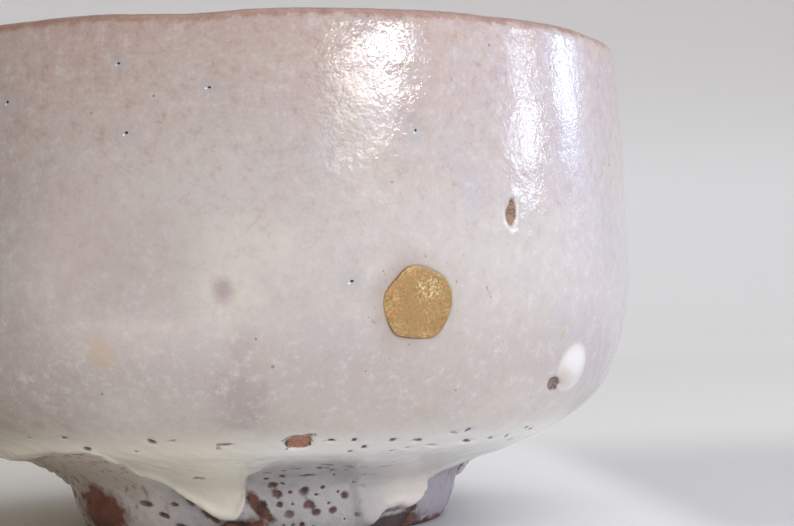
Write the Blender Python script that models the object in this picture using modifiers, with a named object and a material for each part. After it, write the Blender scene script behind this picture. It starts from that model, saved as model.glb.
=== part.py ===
"""A hand-thrown tea bowl on a tapered foot ring, with one gold-filled repair in its wall.

The bowl is one fired solid: wall, lip, floor, foot ring and the thick glaze that has run down over the foot.
The repair is a second solid, a lacquer filling finished in gold, bedded in a shallow socket in the wall.
The origin is at table level, below the middle of the bowl, and the repair faces the front, which is -Y.
An azimuth is an angle in degrees round the bowl, 0 at the front and growing towards +X.
"""

import math
from typing import NamedTuple

import bmesh
import bpy
from mathutils import Matrix, Vector

MM = 0.001

# Outside of the bowl
BOWL_HEIGHT = 85.4 * MM
BELLY_RADIUS = 70.0 * MM
BELLY_HEIGHT = 44.5 * MM
RIM_INSET = 1.6 * MM
HAUNCH_TOP_INSET = 3.7 * MM
HAUNCH_TOP_RISE = 10.2 * MM
HAUNCH_LOW_INSET = 16.0 * MM
UNDERSIDE_RISE = 6.5 * MM

# Foot ring
FOOT_HEIGHT = 10.9 * MM
FOOT_TOP_RADIUS = 38.7 * MM
FOOT_BOTTOM_RADIUS = 33.5 * MM
FOOT_RING_WIDTH = 7.6 * MM
FOOT_EDGE = 0.8 * MM
FOOT_WELL_DEPTH = 6.6 * MM
FOOT_WELL_TAPER = 1.8 * MM
FOOT_BOSS_RADIUS = 6.0 * MM
FOOT_BOSS_HEIGHT = 1.4 * MM

# Thickness of the clay at the places that the outline passes, and the shallow pool in the floor
RIM_WALL = 4.2 * MM
BELLY_WALL = 4.8 * MM
HAUNCH_TOP_WALL = 5.8 * MM
HAUNCH_LOW_WALL = 5.4 * MM
FOOT_TOP_WALL = 7.2 * MM
BASE_THICKNESS = 6.8 * MM
POOL_RADIUS = 20.0 * MM
POOL_DEPTH = 1.1 * MM

# Directions of the outline, in degrees from level, at the places that it passes
RIM_DIRECTION = -85.0
BELLY_DIRECTION = -90.0
HAUNCH_TOP_DIRECTION = -115.0
HAUNCH_LOW_DIRECTION = -152.0
FOOT_TOP_DIRECTION = -147.0
FOOT_BOTTOM_DIRECTION = -128.0
POOL_DIRECTION = 5.0
FLOOR_DIRECTION = 12.0
CURVE_PULL = 0.36
FOOT_CURVE_PULL = 0.42

# Out of true: an oval mouth, a foot trimmed off centre and an underside that tips, each fading over a band
OVAL = 0.3 * MM
OVAL_AZIMUTH = 42.0
FOOT_SHIFT = 1.0 * MM
UNDERSIDE_TIP = 0.9 * MM
FOOT_FADE = 22.0 * MM
RIM_FADE = 30.0 * MM


class Dip(NamedTuple):
    """A soft dip of the rim."""

    azimuth: float
    half_width: float
    depth: float


class Run(NamedTuple):
    """A run of thick glaze down the foot, with its own half width on either side."""

    azimuth: float
    before: float
    after: float
    tip_height: float


class Flat(NamedTuple):
    """A flat of the repair's outline: the way it faces, and its distance as a share of the round part's."""

    facing: float
    distance: float


class Spot(NamedTuple):
    """An egg-shaped hollow or bead on the outside wall. Its tilt turns it to the right."""

    name: str
    azimuth: float
    centre_height: float
    width: float
    length: float
    depth: float
    tilt: float


RIM_DIPS = (
    Dip(azimuth=-8, half_width=8, depth=0.62 * MM),
    Dip(azimuth=34, half_width=2.5, depth=0.18 * MM),
    Dip(azimuth=62, half_width=6, depth=0.40 * MM),
    Dip(azimuth=112, half_width=20, depth=0.55 * MM),
    Dip(azimuth=172, half_width=9, depth=0.45 * MM),
    Dip(azimuth=221, half_width=24, depth=0.70 * MM),
    Dip(azimuth=281, half_width=10, depth=0.35 * MM),
)

# Thick glaze: a rolled edge on the underside, and the runs that come down from it
GLAZE_EDGE_HEIGHT = 13.2 * MM
GLAZE_LIP = 0.9 * MM
GLAZE_LIP_SLOPE = 1.6 * MM
GLAZE_RUNS = (
    Run(azimuth=-10.5, before=13, after=6, tip_height=4.0 * MM),
    Run(azimuth=31, before=8, after=8, tip_height=1.6 * MM),
    Run(azimuth=44.5, before=7, after=6.5, tip_height=4.0 * MM),
    Run(azimuth=93, before=12, after=7, tip_height=6.6 * MM),
    Run(azimuth=137, before=6, after=9, tip_height=3.4 * MM),
    Run(azimuth=183, before=12, after=14, tip_height=7.6 * MM),
    Run(azimuth=231, before=9, after=6, tip_height=2.8 * MM),
    Run(azimuth=262, before=8, after=14, tip_height=7.2 * MM),
)

# Gold repair, and the socket that it is bedded in
GOLD_AZIMUTH = 20.9
GOLD_CENTRE_HEIGHT = 39.6 * MM
GOLD_WIDTH = 12.1 * MM
GOLD_HEIGHT = 12.0 * MM
GOLD_BED = 1.4 * MM
GOLD_PROUD = 0.3 * MM
GOLD_CLEARANCE = 0.35 * MM
GOLD_CORNER_SHARPNESS = 18
GOLD_FLATS = (
    Flat(facing=-95, distance=0.89),
    Flat(facing=-156, distance=0.95),
    Flat(facing=-26, distance=0.97),
    Flat(facing=138, distance=0.90),
    Flat(facing=70, distance=0.95),
)

# Pits burst open in the wall, and a bead of thick glaze beside the last of them
SIDE_PIT = Spot("side_pit", 35.3, 53.8 * MM, width=1.9 * MM, length=4.6 * MM, depth=0.9 * MM, tilt=0)
BELLY_CHIP = Spot("belly_chip", 5.8, 18.7 * MM, width=4.2 * MM, length=4.4 * MM, depth=0.8 * MM, tilt=0)
TEAR_PIT = Spot("tear_pit", 48.6, 25.6 * MM, width=3.6 * MM, length=2.6 * MM, depth=0.9 * MM, tilt=0)
TEAR_BEAD = Spot("tear_bead", 53.0, 28.4 * MM, width=4.6 * MM, length=7.6 * MM, depth=0.8 * MM, tilt=38)

COLUMNS = 80
GOLD_SEGMENTS = 28
GOLD_RINGS = 8
SPOT_SEGMENTS = 14
SPOT_RINGS = 8
POLE_MERGE = 0.01 * MM
SHARP_ANGLE = math.radians(40)


def direction(degrees):
    """Unit vector in the outline's plane, radius then height, at an angle from level."""
    return Vector((math.cos(math.radians(degrees)), math.sin(math.radians(degrees))))


def curve_between(start, leaving, end, arriving, steps, pull=CURVE_PULL):
    """Points of a cubic curve after its start, leaving and arriving in these directions in degrees."""
    start, end = Vector(start), Vector(end)
    reach = pull * (end - start).length
    first_handle = start + reach * direction(leaving)
    last_handle = end - reach * direction(arriving)
    points = []
    for step in range(1, steps + 1):
        t = step / steps
        points.append(
            (1 - t) ** 3 * start
            + 3 * (1 - t) ** 2 * t * first_handle
            + 3 * (1 - t) * t**2 * last_handle
            + t**3 * end
        )
    return points


def inset(place, travelling, wall):
    """The place a wall's thickness inside the outline, square to the way the outline travels there."""
    return place + wall * direction(travelling - 90)


# The places that the outline passes, as radius and height, from the lip down to the foot
RIM = Vector((BELLY_RADIUS - RIM_INSET, BOWL_HEIGHT - RIM_WALL / 2))
BELLY = Vector((BELLY_RADIUS, BELLY_HEIGHT))
HAUNCH_LOW = Vector((BELLY_RADIUS - HAUNCH_LOW_INSET, FOOT_HEIGHT + UNDERSIDE_RISE))
HAUNCH_TOP = Vector((BELLY_RADIUS - HAUNCH_TOP_INSET, HAUNCH_LOW.y + HAUNCH_TOP_RISE))
FOOT_TOP = Vector((FOOT_TOP_RADIUS, FOOT_HEIGHT))
FOOT_BOTTOM = Vector((FOOT_BOTTOM_RADIUS, FOOT_EDGE))


def outer_outline():
    """The outside from the lip's outer edge down to the foot's outer bottom edge."""
    points = [RIM]
    points += curve_between(RIM, RIM_DIRECTION, BELLY, BELLY_DIRECTION, 5)
    points += curve_between(BELLY, BELLY_DIRECTION, HAUNCH_TOP, HAUNCH_TOP_DIRECTION, 3)
    points += curve_between(HAUNCH_TOP, HAUNCH_TOP_DIRECTION, HAUNCH_LOW, HAUNCH_LOW_DIRECTION, 4)
    points += curve_between(HAUNCH_LOW, HAUNCH_LOW_DIRECTION, FOOT_TOP, FOOT_TOP_DIRECTION, 6)
    foot_end = (FOOT_BOTTOM, FOOT_BOTTOM_DIRECTION)
    return points + curve_between(FOOT_TOP, FOOT_TOP_DIRECTION, *foot_end, 7, FOOT_CURVE_PULL)


def foot_outline():
    """The foot ring's bottom, from its outer edge to its inner one, then its well and boss."""
    inner_radius = FOOT_BOTTOM_RADIUS - FOOT_RING_WIDTH
    well_top = Vector((inner_radius - FOOT_WELL_TAPER, FOOT_WELL_DEPTH - FOOT_EDGE))
    boss_edge = Vector((FOOT_BOSS_RADIUS, FOOT_WELL_DEPTH))
    boss_tip = Vector((0, FOOT_WELL_DEPTH - FOOT_BOSS_HEIGHT))
    ring = [
        Vector((FOOT_BOTTOM_RADIUS - FOOT_EDGE, 0)),
        Vector((inner_radius + FOOT_EDGE, 0)),
        Vector((inner_radius, FOOT_EDGE)),
        well_top,
        Vector((well_top.x - FOOT_EDGE, FOOT_WELL_DEPTH)),
        boss_edge,
    ]
    return ring + curve_between(boss_edge, 180, boss_tip, 180, 3)


def inner_outline():
    """The inside, from the middle of the floor up to the lip's inner edge."""
    floor_height = FOOT_WELL_DEPTH + BASE_THICKNESS
    low_direction, top_direction = HAUNCH_LOW_DIRECTION + 180, HAUNCH_TOP_DIRECTION + 180
    middle = Vector((0, floor_height))
    pool_edge = Vector((POOL_RADIUS, floor_height + POOL_DEPTH))
    floor_edge = inset(FOOT_TOP, FOOT_TOP_DIRECTION, FOOT_TOP_WALL)
    haunch_low = inset(HAUNCH_LOW, HAUNCH_LOW_DIRECTION, HAUNCH_LOW_WALL)
    haunch_top = inset(HAUNCH_TOP, HAUNCH_TOP_DIRECTION, HAUNCH_TOP_WALL)
    belly = inset(BELLY, BELLY_DIRECTION, BELLY_WALL)
    rim = Vector((RIM.x - RIM_WALL, RIM.y))
    points = [middle]
    points += curve_between(middle, 0, pool_edge, POOL_DIRECTION, 2)
    points += curve_between(pool_edge, POOL_DIRECTION, floor_edge, FLOOR_DIRECTION, 2)
    points += curve_between(floor_edge, FLOOR_DIRECTION, haunch_low, low_direction, 3)
    points += curve_between(haunch_low, low_direction, haunch_top, top_direction, 3)
    points += curve_between(haunch_top, top_direction, belly, BELLY_DIRECTION + 180, 2)
    points += curve_between(belly, BELLY_DIRECTION + 180, rim, RIM_DIRECTION + 180, 3)
    return points


def lip_outline():
    """The rounded lip, from the inside over the top."""
    lip_radius = RIM_WALL / 2
    centre = Vector((RIM.x - lip_radius, RIM.y))
    return [centre + lip_radius * direction(180 - 30 * step) for step in range(1, 6)]


def smoothstep(low, high, value):
    t = min(max((value - low) / (high - low), 0), 1)
    return t * t * (3 - 2 * t)


def azimuth_difference(first, second):
    return (first - second + 180) % 360 - 180


def wall_radius(height):
    """Radius of the outside at a height, before the bowl is pulled out of round."""
    points = outer_outline()
    for upper, lower in zip(points, points[1:]):
        if lower.y <= height <= upper.y:
            share = (height - lower.y) / (upper.y - lower.y)
            return lower.x + (upper.x - lower.x) * share
    return points[0].x if height > points[0].y else points[-1].x


def oval_offset(azimuth, height):
    """How far the clay stands out from a true circle here. It grows from the foot to the mouth."""
    turn = math.radians(2 * azimuth_difference(azimuth, OVAL_AZIMUTH))
    return OVAL * math.cos(turn) * height / BOWL_HEIGHT


def rim_offset(azimuth, height):
    """How far the rim dips here. The walls below it follow less and less."""
    dip = sum(
        dip.depth * math.exp(-((azimuth_difference(azimuth, dip.azimuth) / dip.half_width) ** 2))
        for dip in RIM_DIPS
    )
    return -dip * smoothstep(BOWL_HEIGHT - RIM_FADE, BOWL_HEIGHT, height)


def foot_shift(height):
    """How far the foot and what is near it stand off centre, towards +X."""
    return FOOT_SHIFT * (1 - smoothstep(FOOT_HEIGHT, FOOT_HEIGHT + FOOT_FADE, height))


def underside_tip(azimuth, height):
    """How far the underside rises on the -X side and sinks on the +X side."""
    rising = smoothstep(FOOT_TOP.y, HAUNCH_LOW.y, height)
    fading = 1 - smoothstep(HAUNCH_LOW.y, HAUNCH_LOW.y + FOOT_FADE, height)
    return -UNDERSIDE_TIP * math.sin(math.radians(azimuth)) * rising * fading


def glaze_edge_height(azimuth):
    """Height of the thick glaze's lower edge, which drops down the foot wherever a run is."""
    lowest = GLAZE_EDGE_HEIGHT
    for run in GLAZE_RUNS:
        across = azimuth_difference(azimuth, run.azimuth)
        across /= run.before if across < 0 else run.after
        drop = (GLAZE_EDGE_HEIGHT - run.tip_height) * math.exp(-(across**4))
        lowest = min(lowest, GLAZE_EDGE_HEIGHT - drop)
    return lowest


def glaze_offset(azimuth, height):
    """Thickness that the glaze's rolled edge adds to the outside. It thins out up the haunch."""
    edge = glaze_edge_height(azimuth)
    covered = smoothstep(edge - GLAZE_LIP_SLOPE / 2, edge + GLAZE_LIP_SLOPE / 2, height)
    thinning = 1 - smoothstep((FOOT_TOP.y + HAUNCH_LOW.y) / 2, HAUNCH_TOP.y, height)
    return GLAZE_LIP * covered * thinning


def turned_bowl(outline):
    """The outline turned round the bowl's axis, as a plain mesh with closed poles."""
    mesh = bpy.data.meshes.new("bowl_outline")
    points = [(point.x, 0, point.y) for point in outline]
    mesh.from_pydata(points, [(i, i + 1) for i in range(len(points) - 1)], [])
    turned = bpy.data.objects.new("bowl_turned", mesh)
    bpy.context.scene.collection.objects.link(turned)
    screw = turned.modifiers.new("Turn", "SCREW")
    screw.steps = COLUMNS
    screw.render_steps = COLUMNS
    screw.use_merge_vertices = True
    screw.merge_threshold = POLE_MERGE
    graph = bpy.context.evaluated_depsgraph_get()
    result = bpy.data.meshes.new_from_object(turned.evaluated_get(graph))
    bpy.data.objects.remove(turned)
    return result


def shape_by_hand(mesh):
    """Pulls the true turning out of round, dips its rim and lays the thick glaze on the outside."""
    outline = outer_outline()
    lowest, highest = outline[-1].y, outline[0].y
    for vertex in mesh.vertices:
        x, y, height = vertex.co
        radius = math.hypot(x, y)
        if radius < MM:
            continue
        azimuth = math.degrees(math.atan2(x, -y))
        outside = lowest <= height <= highest and abs(radius - wall_radius(height)) < 0.1 * MM
        grown = radius + oval_offset(azimuth, height)
        raised = height + rim_offset(azimuth, height)
        if outside:
            grown += glaze_offset(azimuth, height)
            raised += underside_tip(azimuth, height)
        vertex.co = (x * grown / radius + foot_shift(height), y * grown / radius, raised)


def on_the_wall(azimuth, height, tilt=0.0):
    """Placing on the outside: X runs round the bowl, Y up the wall, and Z stands straight out of it."""
    step = MM
    slope = (wall_radius(height + step) - wall_radius(height - step)) / (2 * step)
    radius = wall_radius(height) + oval_offset(azimuth, height) + glaze_offset(azimuth, height)
    turn = math.radians(azimuth)
    out_level = Vector((math.sin(turn), -math.cos(turn), 0))
    across = Vector((math.cos(turn), math.sin(turn), 0))
    up = (out_level * slope + Vector((0, 0, 1))).normalized()
    out = across.cross(up)
    placing = Matrix((across, up, out)).transposed().to_4x4()
    placing.translation = out_level * radius + Vector((foot_shift(height), 0, height))
    return placing @ Matrix.Rotation(math.radians(-tilt), 4, "Z")


def material(name, colour, roughness, metallic=0.0):
    made = bpy.data.materials.new(name)
    made.use_nodes = True
    shader = made.node_tree.nodes["Principled BSDF"]
    shader.inputs["Base Color"].default_value = (*colour, 1)
    shader.inputs["Roughness"].default_value = roughness
    shader.inputs["Metallic"].default_value = metallic
    return made


def egg(spot, collection):
    """An egg-shaped solid set on the wall: a pit's cutter, or the bead of glaze."""
    mesh = bpy.data.meshes.new(spot.name)
    shape = bmesh.new()
    bmesh.ops.create_uvsphere(shape, u_segments=SPOT_SEGMENTS, v_segments=SPOT_RINGS, radius=1)
    bmesh.ops.scale(shape, vec=(spot.width / 2, spot.length / 2, spot.depth), verts=shape.verts)
    shape.to_mesh(mesh)
    shape.free()
    made = bpy.data.objects.new(spot.name, mesh)
    made.matrix_world = on_the_wall(spot.azimuth, spot.centre_height, spot.tilt)
    collection.objects.link(made)
    return made


def repair_outline(angle):
    """How far the repair's edge lies from its middle, as a share: a circle dressed to five flats."""
    flats = sum(
        (max(math.cos(angle - math.radians(flat.facing)), 0) / flat.distance) ** GOLD_CORNER_SHARPNESS
        for flat in GOLD_FLATS
    )
    return (1 + flats) ** (-1 / GOLD_CORNER_SHARPNESS)


def repair_shape(name, growth, collection):
    """The filling, a thin pebble that follows the wall's curve, or its socket, grown all round by growth."""
    mesh = bpy.data.meshes.new(name)
    shape = bmesh.new()
    bmesh.ops.create_uvsphere(shape, u_segments=GOLD_SEGMENTS, v_segments=GOLD_RINGS, radius=1)
    for vertex in shape.verts:
        angle = math.atan2(vertex.co.y, vertex.co.x)
        fullness = math.sqrt(math.hypot(vertex.co.x, vertex.co.y))
        across = math.cos(angle) * fullness * (repair_outline(angle) * GOLD_WIDTH / 2 + growth)
        along = math.sin(angle) * fullness * (repair_outline(angle) * GOLD_HEIGHT / 2 + growth)
        thickness = (GOLD_PROUD if vertex.co.z > 0 else GOLD_BED) + growth
        through = math.copysign(math.sqrt(abs(vertex.co.z)), vertex.co.z) * thickness
        vertex.co = (across, along, through - across**2 / (2 * BELLY_RADIUS))
    shape.to_mesh(mesh)
    shape.free()
    made = bpy.data.objects.new(name, mesh)
    made.matrix_world = on_the_wall(GOLD_AZIMUTH, GOLD_CENTRE_HEIGHT)
    collection.objects.link(made)
    return made


def boolean(target, other, operation):
    modifier = target.modifiers.new(f"{operation.title()} {other.name}", "BOOLEAN")
    modifier.operation = operation
    modifier.object = other
    modifier.solver = "EXACT"
    other.hide_render = True
    other.display_type = "WIRE"


def build():
    for old in list(bpy.data.objects):
        bpy.data.objects.remove(old)
    pieces = bpy.data.collections.new("tea_bowl")
    cutters = bpy.data.collections.new("cutters")
    for collection in (pieces, cutters):
        bpy.context.scene.collection.children.link(collection)

    mesh = turned_bowl(inner_outline() + lip_outline() + outer_outline() + foot_outline())
    shape_by_hand(mesh)
    mesh.shade_smooth()
    mesh.set_sharp_from_angle(angle=SHARP_ANGLE)
    mesh.materials.clear()
    mesh.materials.append(material("milky_glaze", (0.66, 0.58, 0.55), 0.28))
    bowl = bpy.data.objects.new("bowl", mesh)
    pieces.objects.link(bowl)

    boolean(bowl, repair_shape("repair_socket", GOLD_CLEARANCE, cutters), "DIFFERENCE")
    for pit in (SIDE_PIT, BELLY_CHIP, TEAR_PIT):
        boolean(bowl, egg(pit, cutters), "DIFFERENCE")
    boolean(bowl, egg(TEAR_BEAD, cutters), "UNION")

    gold = repair_shape("gold_repair", 0, pieces)
    gold.data.shade_smooth()
    gold.data.materials.append(material("gold_powder", (0.62, 0.42, 0.16), 0.42, 1.0))


build()
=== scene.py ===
# %% [markdown]
# # A tea bowl with a gold repair
#
# The real object is a bowl thrown on a wheel, covered with a thick milky glaze that has crawled, pitted
# and run down over its foot. A small loss in the wall is filled with lacquer and finished in gold powder.
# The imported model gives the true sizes. This lesson turns a finer skin round the same outline, carves what
# the fire and the potter's hands left in it, and then mixes the glaze, the clay and the gold as materials.

# %% Load the fixed frame
import math
import random
from typing import NamedTuple

import bmesh
import bpy
from mathutils import Matrix, Vector, noise as clouds


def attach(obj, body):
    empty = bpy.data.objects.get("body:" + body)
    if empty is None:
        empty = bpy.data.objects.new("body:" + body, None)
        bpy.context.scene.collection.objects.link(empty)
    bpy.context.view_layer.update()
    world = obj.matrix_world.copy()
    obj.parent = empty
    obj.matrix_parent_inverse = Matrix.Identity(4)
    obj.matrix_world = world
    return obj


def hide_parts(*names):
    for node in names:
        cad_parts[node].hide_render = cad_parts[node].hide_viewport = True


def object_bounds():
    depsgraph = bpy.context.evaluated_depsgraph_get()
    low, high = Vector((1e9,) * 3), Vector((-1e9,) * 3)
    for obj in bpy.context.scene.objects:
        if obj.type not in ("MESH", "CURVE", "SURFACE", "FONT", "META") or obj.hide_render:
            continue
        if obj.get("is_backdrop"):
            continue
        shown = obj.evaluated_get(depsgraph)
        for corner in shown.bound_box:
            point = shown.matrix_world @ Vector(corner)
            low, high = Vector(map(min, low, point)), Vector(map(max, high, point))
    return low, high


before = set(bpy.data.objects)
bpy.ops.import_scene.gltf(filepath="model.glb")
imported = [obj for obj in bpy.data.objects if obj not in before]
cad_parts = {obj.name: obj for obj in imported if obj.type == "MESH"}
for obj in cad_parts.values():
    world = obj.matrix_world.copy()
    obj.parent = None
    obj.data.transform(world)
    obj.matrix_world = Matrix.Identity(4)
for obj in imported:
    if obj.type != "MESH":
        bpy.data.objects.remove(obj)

MM = 0.001
cad_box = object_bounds()
cad_size = [round((high - low) / MM, 1) for low, high in zip(*cad_box)]
print("the packed model measures", cad_size, "mm")


def placed(name, data):
    """A new object with this data, put into the scene."""
    made = bpy.data.objects.new(name, data)
    bpy.context.scene.collection.objects.link(made)
    return made


# %% [markdown]
# ## Node trees written as sums
#
# Both the shape and the finish of this bowl follow rules, such as "below this height the glaze is thick".
# Such a rule is easy to read as a sum and hard to read as a web of nodes. So one small class wraps a
# socket and overloads the operators: each sum adds the Math nodes that it needs. The same rule then works
# in a Geometry Nodes tree, where it moves the surface, and in a material, where it colours it.

# %% Wrap a socket so that it can be used in a sum
def find(sockets, key):
    """A socket by its number, or the one in use by its name."""
    if isinstance(key, int):
        return sockets[key]
    return next(socket for socket in sockets if socket.name == key and socket.enabled)


def feed(tree, node, sockets):
    """Gives the sockets of a node plain values, or the wires that carry them."""
    for key, value in sockets.items():
        plug = find(node.inputs, key)
        if isinstance(value, Wire):
            tree.links.new(value.socket, plug)
        else:
            plug.default_value = (*value, 1) if plug.type == "RGBA" and len(value) == 3 else value


class Wire:
    """A socket of a node tree. A sum of wires adds Math nodes to the tree."""

    def __init__(self, tree, socket=None):
        self.tree = tree
        self.socket = socket

    def node(self, kind, settings=None, sockets=None, output=0):
        """Adds a node, sets it up, feeds its sockets with values or wires, and gives one of its outputs."""
        made = self.tree.nodes.new(kind)
        for name, value in (settings or {}).items():
            if name == "curve":
                draw_curve(made.mapping, value)
            else:
                setattr(made, name, value)
        feed(self.tree, made, sockets or {})
        return Wire(self.tree, find(made.outputs, output))

    def axis(self, name):
        """One of the three numbers of a vector: X, Y or Z."""
        return self.node("ShaderNodeSeparateXYZ", None, {0: self}, name)

    def maths(self, operation, *values):
        return self.node("ShaderNodeMath", {"operation": operation}, dict(enumerate(values)))

    def vectors(self, operation, *values, output=0):
        return self.node("ShaderNodeVectorMath", {"operation": operation}, dict(enumerate(values)), output)

    def __add__(self, other):
        return self.maths("ADD", self, other)

    def __radd__(self, other):
        return self.maths("ADD", other, self)

    def __sub__(self, other):
        return self.maths("SUBTRACT", self, other)

    def __rsub__(self, other):
        return self.maths("SUBTRACT", other, self)

    def __mul__(self, other):
        return self.maths("MULTIPLY", self, other)

    def __rmul__(self, other):
        return self.maths("MULTIPLY", other, self)

    def __truediv__(self, other):
        return self.maths("DIVIDE", self, other)

    def __pow__(self, other):
        return self.maths("POWER", self, other)


# %% Draw the curve of a Float Curve node
def draw_curve(mapping, points):
    """Gives a Float Curve node these points, each a share across and a share up."""
    curve = mapping.curves[0]
    for point, place in zip(curve.points, (points[0], points[-1])):
        point.location = place
    for place in points[1:-1]:
        curve.points.new(*place)
    mapping.update()


# %% Name the rules that are used most
def smooth(value, low, high):
    """From 0 at low to 1 at high with soft ends. With low above high it falls instead."""
    limits = {"Value": value, "From Min": low, "From Max": high}
    return value.node("ShaderNodeMapRange", {"interpolation_type": "SMOOTHSTEP"}, limits)


def bell(value, middle, half_width):
    """1 at the middle, falling to nothing on both sides."""
    away = (value - middle) / half_width
    return away.maths("EXPONENT", away * away * -1)


def largest(first, *others):
    """The greatest of these values."""
    for other in others:
        first = first.maths("MAXIMUM", first, other)
    return first


def grain(place, size, seed, detail=1, roughness=0.5):
    """Soft noise from -0.5 to 0.5, with lumps of this size in millimetres."""
    moved = place.vectors("ADD", place, (seed * 13.7, seed * -7.3, seed * 5.9))
    sockets = {"Vector": moved, "Scale": 1 / size, "Detail": detail, "Roughness": roughness}
    return moved.node("ShaderNodeTexNoise", None, sockets) - 0.5


# %% [markdown]
# ## The outline
#
# A thrown bowl is one outline turned round an axis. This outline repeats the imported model's: it starts in
# the middle of the floor, climbs the inside, rolls over the lip, comes down the outside and ends under the
# foot. It is a Bezier curve with one point at each bend, and each bend has a heading, the way the outline
# travels there. Two more points round the edges of the foot ring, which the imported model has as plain
# bevels. The number of rows says how fine the mesh is between a bend and the next: fine where the glaze
# breaks up.

# %% Name the sizes of the thrown form, in millimetres
BOWL_HEIGHT = 85.4
BELLY_RADIUS = 70.0
BELLY_HEIGHT = 44.5
RIM_INSET = 1.6
HAUNCH_TOP_INSET = 3.7
HAUNCH_TOP_RISE = 10.2
HAUNCH_LOW_INSET = 16.0
UNDERSIDE_RISE = 6.5
FOOT_HEIGHT = 10.9
FOOT_TOP_RADIUS = 38.7
FOOT_BOTTOM_RADIUS = 33.5
FOOT_RING_WIDTH = 7.6
FOOT_EDGE = 0.8
FOOT_WELL_DEPTH = 6.6
FOOT_WELL_TAPER = 1.8
FOOT_BOSS_RADIUS = 6.0
FOOT_BOSS_HEIGHT = 1.4
RIM_WALL = 4.2
BELLY_WALL = 4.8
HAUNCH_TOP_WALL = 5.8
HAUNCH_LOW_WALL = 5.4
FOOT_TOP_WALL = 7.2
BASE_THICKNESS = 6.8
POOL_RADIUS = 20.0
POOL_DEPTH = 1.1


# %% Place the bends
class Bend(NamedTuple):
    """A bend of the outline. Pull is the handles' share of the stretch to the next bend."""

    radius: float
    height: float
    heading: float
    rows: int = 0
    pull: float = 0.36


def heading_vector(degrees):
    return Vector((math.cos(math.radians(degrees)), math.sin(math.radians(degrees))))


def inside_of(bend, wall, rows, heading=None):
    """The bend of the inside that lies a wall's thickness in from a bend of the outside."""
    place = Vector((bend.radius, bend.height)) + wall * heading_vector(bend.heading - 90)
    return Bend(*place, bend.heading + 180 if heading is None else heading, rows)


LIP_RADIUS = RIM_WALL / 2
LIP_PULL = 0.39
RIM = Bend(BELLY_RADIUS - RIM_INSET, BOWL_HEIGHT - LIP_RADIUS, -85, rows=60)
BELLY = Bend(BELLY_RADIUS, BELLY_HEIGHT, -90, rows=26)
UNDERSIDE_HEIGHT = FOOT_HEIGHT + UNDERSIDE_RISE
HAUNCH_LOW = Bend(BELLY_RADIUS - HAUNCH_LOW_INSET, UNDERSIDE_HEIGHT, -152, rows=50)
HAUNCH_TOP = Bend(BELLY_RADIUS - HAUNCH_TOP_INSET, HAUNCH_LOW.height + HAUNCH_TOP_RISE, -115, rows=25)
FOOT_TOP = Bend(FOOT_TOP_RADIUS, FOOT_HEIGHT, -147, rows=44, pull=0.42)
FOOT_BOTTOM = Bend(FOOT_BOTTOM_RADIUS, FOOT_EDGE, -128, rows=4)
FLOOR_HEIGHT = FOOT_WELL_DEPTH + BASE_THICKNESS
RING_INNER = FOOT_BOTTOM_RADIUS - FOOT_RING_WIDTH
WELL_TOP = RING_INNER - FOOT_WELL_TAPER

OUTLINE = [
    Bend(0, FLOOR_HEIGHT, 0, rows=8),
    Bend(POOL_RADIUS, FLOOR_HEIGHT + POOL_DEPTH, 5, rows=6),
    inside_of(FOOT_TOP, FOOT_TOP_WALL, rows=8, heading=12),
    inside_of(HAUNCH_LOW, HAUNCH_LOW_WALL, rows=8),
    inside_of(HAUNCH_TOP, HAUNCH_TOP_WALL, rows=5),
    inside_of(BELLY, BELLY_WALL, rows=10),
    Bend(RIM.radius - RIM_WALL, RIM.height, 95, rows=6, pull=LIP_PULL),
    Bend(RIM.radius - LIP_RADIUS, BOWL_HEIGHT, 0, rows=6, pull=LIP_PULL),
    RIM,
    BELLY,
    HAUNCH_TOP,
    HAUNCH_LOW,
    FOOT_TOP,
    FOOT_BOTTOM,
    Bend(FOOT_BOTTOM_RADIUS - FOOT_EDGE, 0, -180, rows=3),
    Bend(RING_INNER + FOOT_EDGE, 0, -180, rows=2),
    Bend(RING_INNER, FOOT_EDGE, 110, rows=3),
    Bend(WELL_TOP, FOOT_WELL_DEPTH - FOOT_EDGE, 110, rows=2),
    Bend(WELL_TOP - FOOT_EDGE, FOOT_WELL_DEPTH, 180, rows=3),
    Bend(FOOT_BOSS_RADIUS, FOOT_WELL_DEPTH, 180, rows=3),
    Bend(0, FOOT_WELL_DEPTH - FOOT_BOSS_HEIGHT, 180),
]

# %% Draw the outline as a curve, and measure it
CURVE_STEPS = 24


def handles(bend, following):
    """The two handles of the stretch from a bend to the one that follows."""
    start, end = Vector(bend[:2]), Vector(following[:2])
    reach = bend.pull * (end - start).length
    return start + reach * heading_vector(bend.heading), end - reach * heading_vector(following.heading)


def stretch_points(bend, following):
    """Points of one stretch, from its bend up to the one that follows."""
    start, end = Vector(bend[:2]), Vector(following[:2])
    leaving, arriving = handles(bend, following)
    shares = [step / CURVE_STEPS for step in range(CURVE_STEPS + 1)]
    return [
        (1 - t) ** 3 * start + 3 * (1 - t) ** 2 * t * leaving + 3 * (1 - t) * t**2 * arriving + t**3 * end
        for t in shares
    ]


def outline_curve():
    """The outline as a Bezier curve in the XZ plane, one unit to a millimetre."""
    data = bpy.data.curves.new("outline", "CURVE")
    data.dimensions = "3D"
    spline = data.splines.new("BEZIER")
    spline.bezier_points.add(len(OUTLINE) - 1)
    spline.resolution_u = CURVE_STEPS
    for bend, point in zip(OUTLINE, spline.bezier_points):
        point.handle_left_type = point.handle_right_type = "FREE"
        point.co = (bend.radius, 0, bend.height)
        point.handle_left = point.handle_right = point.co
    for index, (bend, following) in enumerate(zip(OUTLINE, OUTLINE[1:])):
        leaving, arriving = handles(bend, following)
        spline.bezier_points[index].handle_right = (leaving.x, 0, leaving.y)
        spline.bezier_points[index + 1].handle_left = (arriving.x, 0, arriving.y)
    return placed("outline", data)


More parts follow.
